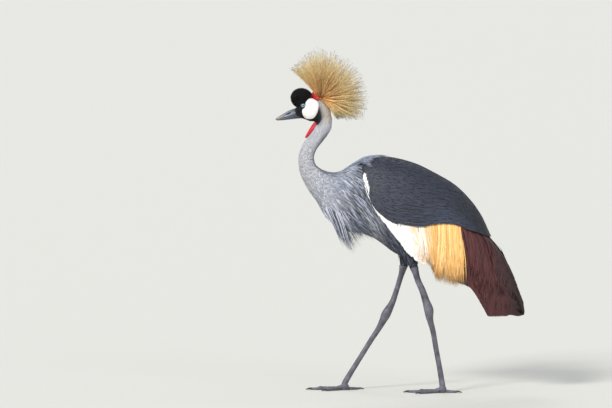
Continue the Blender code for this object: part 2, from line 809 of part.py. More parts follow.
def trunk_point(x, angle, height):
    """A point over the trunk at x. Angle is 0 at the right side and a quarter turn on top."""
    _, z, high, wide = trunk_station(x)
    c, s = rounded(angle, TRUNK_ROUND)
    point = Vector((x, wide * c, z + high * s))
    normal = Vector((0, c / wide, s / high)).normalized()
    return point + normal * height, normal


def trunk_slab(name, columns, first, last, rows, outer, inner, finish):
    """A curved slab over the trunk between two angles."""
    rings = []
    for x in columns:
        angles = [first(x) + (last(x) - first(x)) * i / rows for i in range(rows + 1)]
        skin = [trunk_point(x, a, outer)[0] for a in angles]
        under = [trunk_point(x, a, inner)[0] for a in angles]
        rings.append(skin + under[::-1])
    return solid(name, lofted(rings), finish)


def mantle(name):
    """A cape of lance-shaped feathers over the shoulders, from the neck to the wings."""
    quarter = math.pi / 2
    core = trunk_slab(
        name, (-0.166, -0.148, -0.126), lambda x: quarter - 1.25, lambda x: quarter + 1.25,
        8, 0.0050, SLAB_LIFT, pale_grey(),
    )
    group = new_group("mantle_feathers")
    for row in range(3):
        count = 7 - row % 2
        for i in range(count):
            turn = 1.18 * (2 * i / (count - 1) - 1) * (1 - 0.06 * (row % 2))
            start = -0.161 + 0.015 * row
            length = 0.047 - 0.005 * row

            def place(s, start=start, turn=turn, length=length):
                x = start + length * s
                height = SLAB_LIFT + 0.0016 + 0.0046 * ease(0, 0.8, s)
                return trunk_point(x, quarter + turn * (1 + 0.10 * s), height)

            vane(group, place, 0.0150, 0.0012, 3, 2.4)
    return feathered(name, core, group, pale_grey())


def breast_plumes(name):
    """Long plumes that lie over the breast from the foot of the neck and hang free below it."""
    low = 3 * math.pi / 2
    core = trunk_slab(
        name, (-0.200, -0.182, -0.164), lambda x: low - 1.25, lambda x: low + 1.25,
        8, 0.0052, SLAB_LIFT, pale_grey(),
    )
    group = new_group("breast_feathers")
    tips = ((-0.136, 0.391), (-0.119, 0.388), (-0.104, 0.408), (-0.088, 0.414), (-0.069, 0.411))
    for side in (-1, 1):
        for row, share in enumerate((0.22, 0.95)):
            for i, (x, z) in enumerate(tips):
                start = -0.196 + 0.0078 * i
                turn = low + side * (0.10 + 0.95 * share)
                root = trunk_point(start, turn, SLAB_LIFT + 0.0018)[0]
                out = side * (0.006 + 0.036 * share)
                bend = trunk_point(start + 0.026, low + side * (0.10 + 0.75 * share), 0.016)[0]
                tip = Vector((x - 0.008 * row, out, z + 0.012 * row + 0.004 * (i % 2)))
                vane(group, hanging(root, bend, tip), 0.0115, 0.0013, 3, 2.2)
    return feathered(name, core, group, pale_grey())


def hanging(root, bend, tip):
    """A free path in space with its face turned outwards from the bird's middle."""
    def place(s):
        point = Vector(bezier(root, bend, tip, s))
        normal = Vector((-0.25, point.y * 14, -0.05)).normalized()
        return point, normal

    return place


def tail(name, body_cut):
    """A short fan of dark feathers between the wings."""
    core = ellipsoid(name, (0.158, 0, 0.408), (0.018, 0.026, 0.014), segments=10, rings=6, tilt=1.0)
    carve(core, body_cut)
    group = new_group("tail_feathers")
    count = 5
    for i in range(count):
        turn = -1 + 2 * i / (count - 1)
        root = Vector((0.1655, turn * 0.018, 0.400))
        bend = Vector((0.181, turn * 0.028, 0.362))
        tip = Vector((0.200 - 0.008 * abs(turn), turn * 0.031, 0.292 + 0.010 * abs(turn)))

        def place(s, root=root, bend=bend, tip=tip, turn=turn):
            normal = Vector((0.8, 0.45 * turn, 0.45)).normalized()
            return Vector(bezier(root, bend, tip, s)), normal

        roll = 0.16 if turn > 0 else -0.16 if turn < 0 else 0.0
        vane(group, place, 0.017, 0.0013, 3, 5, roll)
    return feathered(name, core, group, black())


# Head, bill and crest

def head(name="head", grow=0.0, finish=None):
    return upright_tube(name, HEAD, 16, 2.2, finish, grow)


def cap(name="forehead_cap", grow=0.0, finish=None):
    return ellipsoid(name, CAP_CENTRE, CAP_RADII, finish, grow, 14, 8, CAP_TILT)


def eye_ball(name, side, grow=0.0, finish=None):
    centre = (EYE[0], EYE[1] * side, EYE[2])
    return ellipsoid(name, centre, (EYE_RADIUS,) * 3, finish, grow, 12, 8)


def prism(name, outline, side, near=0.003, far=0.060):
    rings = [[Vector((x, y * side, z)) for x, z in outline] for y in (near, far)]
    return solid(name, lofted(rings))


def face_patch(name, outline, side, finish, others):
    """A thin plate of bare skin on the side of the head, inside an outline."""
    made = head(name, PATCH_THICK + GAP, finish)
    shape = prism("outline", outline, side)
    boolean(made, shape, "INTERSECT")
    bed = head("bed", GAP)
    carve(made, bed, *others)
    drop(shape)
    drop(bed)
    return made


def bill_half(name, rows, upper, finish, grow=0.0):
    """One half of the bill, flat along the mouth line."""
    rings = []
    for x, edge, wide in rows:
        mouth = smooth(MOUTH_LINE, x) + (GAP / 2 if upper else -GAP / 2)
        ring = []
        for i in range(9):
            angle = math.pi * i / 8
            c, s = rounded(angle, 1.8 if upper else 2.2)
            ring.append(
                Vector((x, (wide + grow) * c, mouth + (edge - mouth) * s + (grow * s if upper
                        else -grow * s)))
            )
        if grow:
            ring = [
                p - Vector((0, 0, grow if upper else -grow)) if i in (0, 8) else p
                for i, p in enumerate(ring)
            ]
        rings.append(ring)
    x, z = BILL_TIP
    tip = Vector((x, 0, z if upper else z - 0.0022))
    if not upper:
        tip.x += 0.0026
    return solid(name, lofted(rings, tip), finish)


def crest(name):
    """A fan of stiff bristles behind the cap, in mirrored pairs, each one a little curved."""
    core = ellipsoid(name, CREST_ROOT, CREST_MOUND, segments=10, rings=6)
    group = new_group("bristles")
    golden = (3 - math.sqrt(5)) / 2
    low = math.cos(CREST_SPREAD)
    for i in range(BRISTLE_PAIRS):
        share = (i + 0.5) / BRISTLE_PAIRS
        polar = math.acos(1 - (1 - low) * share)
        turn = math.pi * ((golden * (i + 1)) % 1.0)
        for side in (-1, 1):
            fore, aside = polar * math.cos(turn), polar * CREST_FLATTEN * math.sin(turn) * side
            local = Vector(
                (math.sin(fore) * math.cos(aside), math.sin(aside),
                 math.cos(fore) * math.cos(aside))
            )
            way = Vector(
                (local.x * math.cos(CREST_LEAN) + local.z * math.sin(CREST_LEAN), local.y,
                 local.z * math.cos(CREST_LEAN) - local.x * math.sin(CREST_LEAN))
            )
            reach = CREST_REACH * (0.93 + 0.07 * math.cos(7.3 * i)) * (1 - 0.16 * way.x)
            mound = Vector((way.x * CREST_MOUND[0], way.y * CREST_MOUND[1],
                            way.z * CREST_MOUND[2]))
            root = Vector(CREST_ROOT) + mound * 0.72 + Vector((0, side * PAIR_GAP, 0))
            tip = root + way * reach
            middle = root + way * reach * 0.5 + Vector((0, 0, 0.005 * way.x))
            bristle(group, root, middle, tip)
    return core, group


def bristle(group, root, middle, tip):
    """A three-sided bristle that thins to a point."""
    rings = []
    for s, share in ((0, 1.0), (0.55, 0.95)):
        point = Vector(bezier(root, middle, tip, s))
        way = (Vector(bezier(root, middle, tip, s + 0.05)) - point).normalized()
        side = way.orthogonal().normalized()
        other = way.cross(side)
        rings.append([
            point + (side * math.cos(a) + other * math.sin(a)) * BRISTLE_RADIUS * share
            for a in (0, 2 * math.pi / 3, 4 * math.pi / 3)
        ])
    solid("bristle", lofted(rings, tip), collection=group)


def build_lids(skull):
    """Joins a lid to each side of the skull, then opens it for the eye."""
    for side in (-1, 1):
        lid = eye_ball("lid", side, LID_THICK)
        boolean(skull, lid, "UNION")
        drop(lid)
    for side in (-1, 1):
        socket = eye_ball("socket", side, GAP)
        centre = Vector((EYE[0], (EYE[1] + 0.007) * side, EYE[2]))
        slot = ellipsoid(
            "slot", centre, (LID_OPENING, 0.0070, LID_OPENING * 0.87), segments=10, rings=6
        )
        carve(skull, socket, slot)
        drop(socket)
        drop(slot)


def build_head():
    skull = head("head")
    build_lids(skull)
    bed = head("bed", GAP)
    cap_cut = cap("cap_cut", GAP)
    mound_cut = ellipsoid("mound_cut", CREST_ROOT, CREST_MOUND, grow=GAP, segments=10, rings=6)
    lid_cuts = [eye_ball("lid_cut", side, LID_THICK + GAP) for side in (-1, 1)]
    bill_cuts = [
        bill_half("bill_cut", BILL_UPPER, True, None, GAP),
        bill_half("bill_cut", BILL_LOWER, False, None, GAP),
    ]
    neck_cut = bent_tube("neck_cut", NECK, 0, 1, NECK_RINGS, NECK_SIDES, grow=GAP)
    carve(skull, *bill_cuts)
    paint(skull, black())
    paint(carve(cap(), bed, bill_cuts[0], *lid_cuts), black())
    for side, word in ((-1, "left"), (1, "right")):
        eye_ball(f"eye_{word}", side, finish=iris())
        others = (cap_cut, *lid_cuts)
        face_patch(f"cheek_{word}", CHEEK_OUTLINE, side, cheek_skin(), others)
        others = (cap_cut, mound_cut)
        face_patch(f"red_patch_{word}", RED_OUTLINE, side, red_skin(), others)
    upper = bill_half("bill_upper", BILL_UPPER, True, horn())
    for side in (-1, 1):
        pit = ellipsoid(
            "nostril", (NOSTRIL[0], 0.0068 * side, NOSTRIL[1]), (0.0058, 0.0022, 0.0017),
            segments=12, rings=6, tilt=0.30,
        )
        carve(upper, pit)
        drop(pit)
    paint(upper, horn())
    bill_half("bill_lower", BILL_LOWER, False, horn())
    throat = bent_tube("throat_wattle", WATTLE, 0, 1, 7, 10, red_skin())
    paint(carve(throat, bed, neck_cut), red_skin())
    core, group = crest("crest")
    carve(core, bed, cap_cut)
    feathered("crest", core, group, straw(), "MANIFOLD")
    for cutter in (bed, cap_cut, mound_cut, neck_cut, *lid_cuts, *bill_cuts):
        drop(cutter)


# Legs and feet

def leg_ring_tube(name, rows, start, end, count, sides, y, finish):
    return bent_tube(name, rows, start, end, count, sides, finish, y, cut=GAP / 2)


def toe_path(base, way, length, s):
    """A toe's middle line: it leaves the joint, arches a little and lies on the floor."""
    flat = base + way * length * s
    rise = 0.0060 * (1 - ease(0, 0.30, s))
    return Vector((flat.x, flat.y, 0.0044 * (1 - 0.35 * s) + rise))


def foot(word, side, rows):
    """Four toes and their joint, flat where they press on the floor, with a claw on each."""
    x, _, _, _ = rows[-1]
    base = Vector((x, LEG_Y * side, 0))
    rings = []
    for z, share in ((0.0, 0.72), (0.0035, 0.98), (0.0090, 1.0), (HUB_TOP, 0.80)):
        rings.append([
            base + Vector((HUB_RADIUS * share * math.cos(a), HUB_RADIUS * share * math.sin(a), z))
            for a in (2 * math.pi * i / 10 for i in range(10))
        ])
    hub = solid(f"foot_{word}", lofted(rings), leg_skin())
    group = new_group("toes")
    for n, (turn, length, radius) in enumerate(TOES):
        angle = math.radians(180 - turn * side)
        way = Vector((math.cos(angle), math.sin(angle), 0))
        across = Vector((-way.y, way.x, 0))
        rings = []
        for i in range(6):
            s = i / 5
            centre = toe_path(base, way, length, s)
            r = radius * (1 - 0.38 * s)
            ring = []
            for k in range(6):
                a = 2 * math.pi * (k + 0.5) / 6
                p = centre + across * r * math.cos(a) + Vector((0, 0, r * math.sin(a)))
                p.z = max(p.z, 0.0)
                ring.append(p)
            rings.append(ring)
        solid("toe", lofted(rings), collection=group)
        end = toe_path(base, way, length, 1)
        claw(f"claw_{word}_{n + 1}", end + way * GAP, way, across, radius * 0.52)
    return feathered(f"foot_{word}", hub, group, leg_skin())


def claw(name, start, way, across, radius):
    """A short curved claw that ends just over the floor."""
    rings = []
    for s, share in ((0, 1.0), (0.35, 0.86), (0.70, 0.5)):
        centre = start + way * CLAW_LENGTH * s
        centre.z = 0.0032 + 0.0010 * math.sin(math.pi * s) - 0.0010 * s
        ring = []
        for k in range(6):
            a = 2 * math.pi * k / 6
            p = centre + across * radius * share * math.cos(a)
            p.z = max(centre.z + radius * share * math.sin(a), 0.0003)
            ring.append(p)
        rings.append(ring)
    tip = start + way * CLAW_LENGTH
    tip.z = 0.0012
    return solid(name, lofted(rings, tip), claw_horn())


def leg(word, side, rows, body_cut):
    y = LEG_Y * side
    thigh = leg_ring_tube(f"thigh_{word}", rows, 0, THIGH_END, 7, 12, y, pale_grey())
    carve(thigh, body_cut)
    leg_ring_tube(f"tibia_{word}", rows, THIGH_END, ANKLE, 9, 8, y, leg_skin())
    shank = leg_ring_tube(f"tarsus_{word}", rows, ANKLE, TOE_JOINT, 11, 8, y, leg_skin())
    bisect(shank, Vector((0, 0, HUB_TOP + GAP)), Vector((0, 0, 1)))
    foot(word, side, rows)


def clear_scene():
    for obj in list(bpy.data.objects):
        bpy.data.objects.remove(obj)


def build():
    clear_scene()
    trunk("torso", pale_grey())
    body_cut = trunk("body_cut", grow=GAP)
    head_cut = head("head_cut", GAP)
    neck_cut = bent_tube("neck_cut", NECK, 0, 1, NECK_RINGS, NECK_SIDES, grow=GAP)
    neck = bent_tube("neck", NECK, 0, 1, NECK_RINGS, NECK_SIDES)
    paint(carve(neck, body_cut, head_cut), pale_grey())
    for side, word in ((-1, "left"), (1, "right")):
        layers = (
            (shield, shield_feathers, f"shield_{word}", slate()),
            (white_coverts, white_feathers, f"white_coverts_{word}", white()),
            (gold_plumes, gold_feathers, f"gold_plumes_{word}", gold()),
            (secondaries, chestnut_feathers, f"secondaries_{word}", chestnut()),
            (primaries, black_feathers, f"primaries_{word}", black()),
        )
        for make, dress, name, finish in layers:
            core = make(side, name)
            group = new_group(name)
            dress(side, group)
            feathered(name, core, group, finish)
            paint(carve(core, body_cut), finish)
        leg(word, side, LEFT_LEG if side < 0 else RIGHT_LEG, body_cut)
    paint(carve(mantle("mantle"), neck_cut, body_cut), pale_grey())
    breast_plumes("breast_plumes")
    tail("tail", body_cut)
    for cutter in (body_cut, head_cut, neck_cut):
        drop(cutter)
    build_head()


build()
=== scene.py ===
# %% [markdown]
# # A grey crowned crane, walking
# This notebook dresses a plain, life-size frame of the bird in its feathers, skin and horn. All
# sizes are in metres. The bird faces -X, its left side is towards -Y, and its soles stand on
# Z = 0. The frame comes first, because every piece takes its place and its size from it.

import math

import bpy
import numpy as np
from mathutils.bvhtree import BVHTree
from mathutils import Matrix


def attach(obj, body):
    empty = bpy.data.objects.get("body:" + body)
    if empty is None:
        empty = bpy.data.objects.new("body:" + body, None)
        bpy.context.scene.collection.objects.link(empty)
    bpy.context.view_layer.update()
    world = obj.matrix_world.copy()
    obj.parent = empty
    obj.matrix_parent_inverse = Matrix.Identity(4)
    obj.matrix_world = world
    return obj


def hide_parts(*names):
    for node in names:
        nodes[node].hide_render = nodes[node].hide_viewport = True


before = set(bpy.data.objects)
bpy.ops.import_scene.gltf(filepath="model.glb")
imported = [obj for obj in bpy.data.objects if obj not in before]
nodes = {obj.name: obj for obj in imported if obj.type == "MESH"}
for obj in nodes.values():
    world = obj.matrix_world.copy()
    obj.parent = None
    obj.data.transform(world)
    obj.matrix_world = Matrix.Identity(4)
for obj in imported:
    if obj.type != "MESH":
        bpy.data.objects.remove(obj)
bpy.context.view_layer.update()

# %% [markdown]
# ## Camera, floor and light
# A long lens far away gives the flat view of a wild bird seen from a distance. The floor is so
# wide that its edge lies outside the view. The lamps stand for a studio: a warm one before the
# bird and above it, a weak one that opens the shadows, and one behind that draws the outline of
# the back. They are far away and wide, so the floor is evenly lit and the shadows are soft.

# %% Camera
AIM = (-0.253, 0.0, 0.511)
VIEW_WIDTH = 1.665
CAMERA_DISTANCE = 12.0
CAMERA_RISE = math.radians(3)
SENSOR_WIDTH = 36.0


def only(obj=None):
    """Selects obj, or nothing, and leaves all else unselected."""
    if bpy.context.mode != "OBJECT":
        bpy.ops.object.mode_set(mode="OBJECT")
    bpy.ops.object.select_all(action="DESELECT")
    if obj is not None:
        obj.select_set(True)
        bpy.context.view_layer.objects.active = obj


only()
bpy.ops.object.camera_add(
    location=(AIM[0], -CAMERA_DISTANCE * math.cos(CAMERA_RISE),
              AIM[2] + CAMERA_DISTANCE * math.sin(CAMERA_RISE)),
    rotation=(math.pi / 2 - CAMERA_RISE, 0, 0),
)
camera = bpy.context.object
camera.data.sensor_width = SENSOR_WIDTH
camera.data.lens = SENSOR_WIDTH * CAMERA_DISTANCE / VIEW_WIDTH
camera.data.clip_end = 1000
bpy.context.scene.camera = camera
bpy.context.scene.view_settings.view_transform = "Standard"
print("camera: lens", round(camera.data.lens), "mm")

# %% Floor and lamps
FLOOR_RADIUS, FLOOR_DROP = 260.0, 0.0004
# Name, turn in degrees, width in degrees, strength and colour.
LAMPS = (
    ("key_lamp", (56, 0, -36), 14, 2.60, (1.0, 0.975, 0.94)),
    ("fill_lamp", (70, 0, 40), 30, 0.45, (0.92, 0.96, 1.0)),
    ("back_lamp", (-48, 0, 14), 25, 0.60, (1.0, 0.98, 0.95)),
)
SKY_COLOUR, SKY_STRENGTH = (0.93, 0.955, 0.98), 0.66

only()
bpy.ops.mesh.primitive_circle_add(vertices=128, radius=FLOOR_RADIUS, fill_type="NGON",
                                  location=(0, 0, -FLOOR_DROP))
floor = bpy.context.object
floor.name = "studio_floor"
bpy.ops.object.transform_apply()
for name, turn, spread, power, colour in LAMPS:
    only()
    bpy.ops.object.light_add(type="SUN", location=(0, -3, 4))
    lamp = bpy.context.object
    lamp.name = name
    lamp.rotation_euler = [math.radians(part) for part in turn]
    lamp.data.angle = math.radians(spread)
    lamp.data.energy = power
    lamp.data.color = colour
sky = bpy.data.worlds.new("studio_sky")
sky.use_nodes = True
sky.node_tree.nodes["Background"].inputs["Color"].default_value = (*SKY_COLOUR, 1)
sky.node_tree.nodes["Background"].inputs["Strength"].default_value = SKY_STRENGTH
bpy.context.scene.world = sky
print("stage:", floor.name, "and", len(LAMPS), "lamps")

# %% [markdown]
# ## The sizes of the bird
# The frame was built from a few lines: the back seen from the side, the half
# widths seen from above, and the paths of the neck and the legs. They are repeated here, so that
# each feather can be laid on the same surfaces as the solid under it. Only the lower edge of
# the slate shield is drawn a little higher, where its last long feathers end.

# %% Lines of the body
BACK_LINE = (
    (-0.225, 0.570), (-0.205, 0.582), (-0.188, 0.592), (-0.160, 0.602), (-0.123, 0.627),
    (-0.088, 0.642), (-0.052, 0.6445), (-0.012, 0.638), (0.043, 0.623), (0.097, 0.597),
    (0.152, 0.5645), (0.192, 0.526), (0.225, 0.480), (0.252, 0.422), (0.282, 0.374),
    (0.309, 0.322), (0.328, 0.268), (0.3375, 0.215),
)
WING_HALF_WIDTH = (
    (-0.110, 0.074), (-0.088, 0.084), (-0.060, 0.091), (-0.020, 0.098), (0.030, 0.103),
    (0.080, 0.102), (0.130, 0.095), (0.180, 0.081), (0.220, 0.067), (0.250, 0.058),
    (0.290, 0.049), (0.320, 0.041), (0.338, 0.032),
)
WING_HANG_LINE = ((-0.110, 0.290), (0.150, 0.280), (0.200, 0.250), (0.240, 0.196), (0.338, 0.192))
WING_MID, WING_ROUND, WING_TUCK, WING_LOWER_SHARE = 0.5, 2.3, 0.45, 0.4
SHIELD_EDGE = (
    (-0.091, 0.583), (-0.086, 0.55), (-0.081, 0.535), (-0.074, 0.517), (-0.063, 0.502),
    (-0.045, 0.484), (-0.025, 0.4706), (0.002, 0.4598), (0.029, 0.4571), (0.056, 0.4565),
    (0.097, 0.462), (0.125, 0.4637), (0.152, 0.4629), (0.181, 0.4505), (0.206, 0.4418),
    (0.233, 0.431), (0.25, 0.425),
)
WHITE_EDGE = (
    (-0.106, 0.578), (-0.096, 0.568), (-0.085, 0.545), (-0.077, 0.524), (-0.063, 0.4995),
    (-0.047, 0.477), (-0.025, 0.447), (-0.0035, 0.4175), (0.013, 0.392), (0.024, 0.378),
    (0.043, 0.360), (0.056, 0.352), (0.074, 0.343),
)
GOLD_EDGE = (
    (0.0765, 0.347), (0.084, 0.338), (0.092, 0.327), (0.100, 0.302), (0.110, 0.292),
    (0.138, 0.284), (0.157, 0.281), (0.173, 0.285),
)
CHESTNUT_EDGE = (
    (0.171, 0.298), (0.195, 0.279), (0.208, 0.260), (0.222, 0.235), (0.236, 0.2135),
    (0.247, 0.202), (0.288, 0.2025), (0.301, 0.206), (0.326, 0.2025), (0.3375, 0.210),
)


def curve(table, column=1):
    """A smooth function of a table's first column, with no overshoot between its rows."""
    rows = np.array(table, float)
    x, y = rows[:, 0], rows[:, column]
    slope = np.diff(y) / np.diff(x)
    before, after = slope[:-1], slope[1:]
    total = np.where(np.abs(before + after) > 1e-9, before + after, 1)
    inner = np.where(before * after > 0, 2 * before * after / total, 0)
    tangent = np.concatenate((slope[:1], inner, slope[-1:]))

    def value(at):
        at = np.clip(at, x[0], x[-1])
        i = np.clip(np.searchsorted(x, at) - 1, 0, len(x) - 2)
        width = x[i + 1] - x[i]
        t = (at - x[i]) / width
        return (
            (1 + 2 * t) * (1 - t) ** 2 * y[i] + t * (1 - t) ** 2 * width * tangent[i]
            + t * t * (3 - 2 * t) * y[i + 1] + t * t * (t - 1) * width * tangent[i + 1]
        )

    return value


def between(a, b, c, d, t):
    """A smooth step from b, where t is 0, to c, where t is 1. a comes before b, and d after c."""
    return 0.5 * (2 * b + (c - a) * t + (2 * a - 5 * b + 4 * c - d) * t ** 2
                  + (3 * b - a - 3 * c + d) * t ** 3)


def spline(rows, s):
    """The rows' values at shares s, from 0 to 1, on a smooth curve through them."""
    rows = np.array(rows, float)
    last = len(rows) - 1
    place = np.clip(s, 0, 1) * last
    i = np.minimum(place.astype(int), last - 1)
    near = (rows[np.clip(i + n, 0, last)] for n in (-1, 0, 1, 2))
    return between(*near, (place - i)[..., None])


def arc(start, bend, end, t):
    """Points at shares t of the curve from start to end that is drawn towards bend."""
    return start * (1 - t) ** 2 + 2 * bend * t * (1 - t) + end * t * t


def ease(low, high, x):
    """0 below low, 1 above high, and smooth between them."""
    t = np.clip((x - low) / (high - low), 0, 1)
    return t * t * (3 - 2 * t)


def unit(vectors):
    """The vectors at length 1."""
    return vectors / np.maximum(np.linalg.norm(vectors, axis=-1, keepdims=True), 1e-9)


back, hang, wing_half_width = curve(BACK_LINE), curve(WING_HANG_LINE), curve(WING_HALF_WIDTH)
shield_low, white_low, gold_low = curve(SHIELD_EDGE), curve(WHITE_EDGE), curve(GOLD_EDGE)
SIDES = ((-1, "left"), (1, "right"))
print("height of the back at the shoulder:", round(float(back(-0.05)), 3))

# %% [markdown]
# ## Feathers as numbers
# A feather is a thin closed blade that is widest in its middle and runs to a point. The coat has
# tens of thousands of them, far too many to model one by one, so one blade is written down as a
# pattern: rings of a few corners each, and a tip. The pattern is then bent along many paths at
# once with numpy, and all of those blades become one mesh. Each corner also keeps a few values
# that the materials read: how far along the blade it is, how far across, the colour of the
# plumage where the blade grows, how strong its dark shaft is, and a chance value of its own.

# %% One blade's pattern
FLAT_RING = ((-1, 0), (-0.88, 0.5), (0, 1), (0.88, 0.5), (1, 0), (0, -0.5))
SLIM_RING = ((-1, 0), (-0.45, 0.9), (0.45, 0.9), (1, 0), (0, -0.6))
FINE_RING = ((-1, -0.3), (0, 1), (1, -0.3))


def blade_pattern(ring, shares, taper, start):
    """Corners of one blade as (ring number, place across, height), and its triangles."""
    ring = np.array(ring, float)
    shares = np.array(shares, float)
    corners, rings = len(ring), len(shares)
    wide = (start + (1 - start) * ease(0, 0.35, shares)) * (1 - shares ** taper)
    high = 1 - 0.5 * shares
    number = np.append(np.repeat(np.arange(rings), corners), rings)
    across = np.append(np.tile(ring[:, 0], rings), 0)
    out = np.append((wide[:, None] * ring[:, 0]).ravel(), 0)
    up = np.append((high[:, None] * ring[:, 1]).ravel(), 0)
    faces = []
    for r in range(rings - 1):
        for m in range(corners):
            a, b = r * corners + m, r * corners + (m + 1) % corners
            faces += [(a, b + corners, b), (a, a + corners, b + corners)]
    first, tip = (rings - 1) * corners, rings * corners
    faces += [(first + m, tip, first + (m + 1) % corners) for m in range(corners)]
    faces += [(0, m, m + 1) for m in range(1, corners - 1)]
    faces = np.array(faces)
    along = np.append(shares, 1.0)
    place = np.stack((out, along[number], up), -1)
    a, b, c = (place[faces[:, n]] for n in range(3))
    if np.einsum("ij,ij->i", a, np.cross(b, c)).sum() < 0:
        faces = faces[:, ::-1]
    return {"shares": along, "number": number, "across": across, "out": out, "up": up,
            "faces": faces}


# Ring, places of the rings, bluntness of the tip, and width at the root.
PATTERN_TABLE = {
    "covert": (FLAT_RING, (0, 0.2, 0.42, 0.64, 0.82, 0.93), 6.0, 0.3),
    "flight": (FLAT_RING, (0, 0.2, 0.42, 0.64, 0.82, 0.93, 0.98), 18.0, 0.3),
    "sleek": (FLAT_RING, (0, 0.2, 0.42, 0.64, 0.84), 2.2, 0.4),
    "lance": (SLIM_RING, (0, 0.22, 0.48, 0.76), 2.4, 0.3),
    "strand": (SLIM_RING, (0, 0.2, 0.42, 0.62, 0.82), 3.2, 0.5),
    "fine": (FINE_RING, (0, 0.3, 0.65), 2.4, 0.5),
    "spike": (FINE_RING, (0, 0.5), 2.0, 1.0),
    "bristle": (FINE_RING, (0, 0.2, 0.4, 0.6, 0.8), 5.0, 1.0),
}
PATTERNS = {word: blade_pattern(*row) for word, row in PATTERN_TABLE.items()}
for word, made in PATTERNS.items():
    print("pattern", word, "has", len(made["faces"]), "triangles")

# %% Many blades in one mesh
PATCH = 0.003
WAY_STEP = 0.02


def smooth_path(path, shares):
    """Points at shares of each path, on a smooth curve through its stations."""
    last = path.shape[1] - 1
    place = np.clip(shares, 0, 1) * last
    i = np.minimum(place.astype(int), last - 1)
    near = (path[:, np.clip(i + n, 0, last)] for n in (-1, 0, 1, 2))
    return between(*near, (place - i)[None, :, None])


def mesh_object(name, points, faces, values, uv):
    """A smooth object from arrays, with its values as attributes and its UV map."""
    mesh = bpy.data.meshes.new(name)
    mesh.vertices.add(len(points))
    mesh.vertices.foreach_set("co", points.astype(np.float32).ravel())
    mesh.loops.add(faces.size)
    mesh.loops.foreach_set("vertex_index", faces.astype(np.int32).ravel())
    mesh.polygons.add(len(faces))
    mesh.polygons.foreach_set("loop_start", np.arange(0, faces.size, 3, dtype=np.int32))
    mesh.update(calc_edges=True)
    mesh.polygons.foreach_set("use_smooth", np.ones(len(faces), bool))
    store(mesh, values)
    layer = mesh.uv_layers.new(name="OFBake")
    layer.uv.foreach_set("vector", uv[faces.ravel()].astype(np.float32).ravel())
    obj = bpy.data.objects.new(name, mesh)
    bpy.context.scene.collection.objects.link(obj)
    return obj


def store(mesh, values):
    """Keeps values as point attributes: three columns make a colour, one makes a number."""
    for key, value in values.items():
        if value.ndim == 2:
            attribute = mesh.attributes.new(key, "FLOAT_COLOR", "POINT")
            full = np.concatenate((value, np.ones((len(value), 1))), 1)
            attribute.data.foreach_set("color", full.astype(np.float32).ravel())
        else:
            attribute = mesh.attributes.new(key, "FLOAT", "POINT")
            attribute.data.foreach_set("value", value.astype(np.float32).ravel())


def blades(name, kind, path, up, width, thick, colour, uv, seed, tip_colour=None, streak=0.0,
           cup=0.0, roll=0.0):
    """Lays one blade of a pattern along each path. Up is the way each station faces."""
    made = PATTERNS[kind]
    count = len(path)
    shares, number = made["shares"], made["number"]
    centre = smooth_path(path, shares)
    along = unit(smooth_path(path, shares + WAY_STEP) - smooth_path(path, shares - WAY_STEP))
    face = smooth_path(up, shares)
    side = unit(np.cross(along, face))
    face = np.cross(side, along)
    turn = np.broadcast_to(roll, (count,))[:, None, None]
    side, face = (side * np.cos(turn) + face * np.sin(turn),
                  face * np.cos(turn) - side * np.sin(turn))
    half = np.broadcast_to(width, (count,))[:, None, None] / 2
    deep = np.broadcast_to(thick, (count,))[:, None, None] / 2
    out, high = made["out"][None, :, None], made["up"][None, :, None]
    points = (centre[:, number] + side[:, number] * out * half
              + face[:, number] * (high * deep - cup * out ** 2 * half))
    corners = len(number)
    faces = (made["faces"][None] + (np.arange(count) * corners)[:, None, None]).reshape(-1, 3)
    chance = np.random.default_rng(seed).random(count)
    share = shares[number]
    tint = np.repeat(colour[:, None], corners, 1)
    if tip_colour is not None:
        tint = tint + (tip_colour[:, None] - tint) * (share ** 2)[None, :, None]
    values = {
        "plumage": tint.reshape(-1, 3),
        "along": np.tile(share, count),
        "across": np.tile(made["across"], count),
        "chance": np.repeat(chance, corners),
        "streak": np.repeat(np.broadcast_to(streak, (count,)), corners),
    }
    patch = np.stack((made["across"] * 0.5 + 0.5, share), -1) * PATCH
    where = (uv[:, None] + patch[None]).reshape(-1, 2)
    obj = mesh_object(name, points.reshape(-1, 3), faces, values, where)
    print(name, "has", count, "blades and", len(faces), "triangles")
    return obj


# %% [markdown]
# ## Tools for modelled pieces
# Bare parts such as the bill, the toes and the eyelids start as a grid primitive. A grid has a
# clean row of corners each way, so moving each corner by a rule bends it into a tube, a ball or
# a cushion, and the corners that meet are then merged. The grid's own UV map stays, so a
# material knows how far along and around the piece it is.

# %% Grid pieces
MERGE_GAP = 2e-6


def points_of(obj, what="co"):
    """The places of an object's corners, or what they face, as rows of X, Y and Z."""
    flat = np.empty(len(obj.data.vertices) * 3, np.float32)
    obj.data.vertices.foreach_get(what, flat)
    return flat.reshape(-1, 3).astype(float)


def move_points(obj, points):
    """Puts an object's corners at new places."""
    obj.data.vertices.foreach_set("co", points.astype(np.float32).ravel())
    obj.data.update()


def closed(obj):
    """Merges the corners that meet and turns all faces outwards."""
    bpy.ops.object.mode_set(mode="EDIT")
    bpy.ops.mesh.select_all(action="SELECT")
    bpy.ops.mesh.remove_doubles(threshold=MERGE_GAP)
    bpy.ops.mesh.normals_make_consistent(inside=False)
    bpy.ops.object.mode_set(mode="OBJECT")
    bpy.ops.object.shade_smooth()
    return obj


def ball_piece(name, segments, rings, radius=1.0):
    """A round ball with its pole upwards, to be squashed and moved."""
    only()
    bpy.ops.mesh.primitive_uv_sphere_add(segments=segments, ring_count=rings, radius=radius)
    obj = bpy.context.object
    obj.name = obj.data.name = name
    bpy.ops.object.shade_smooth()
    return obj


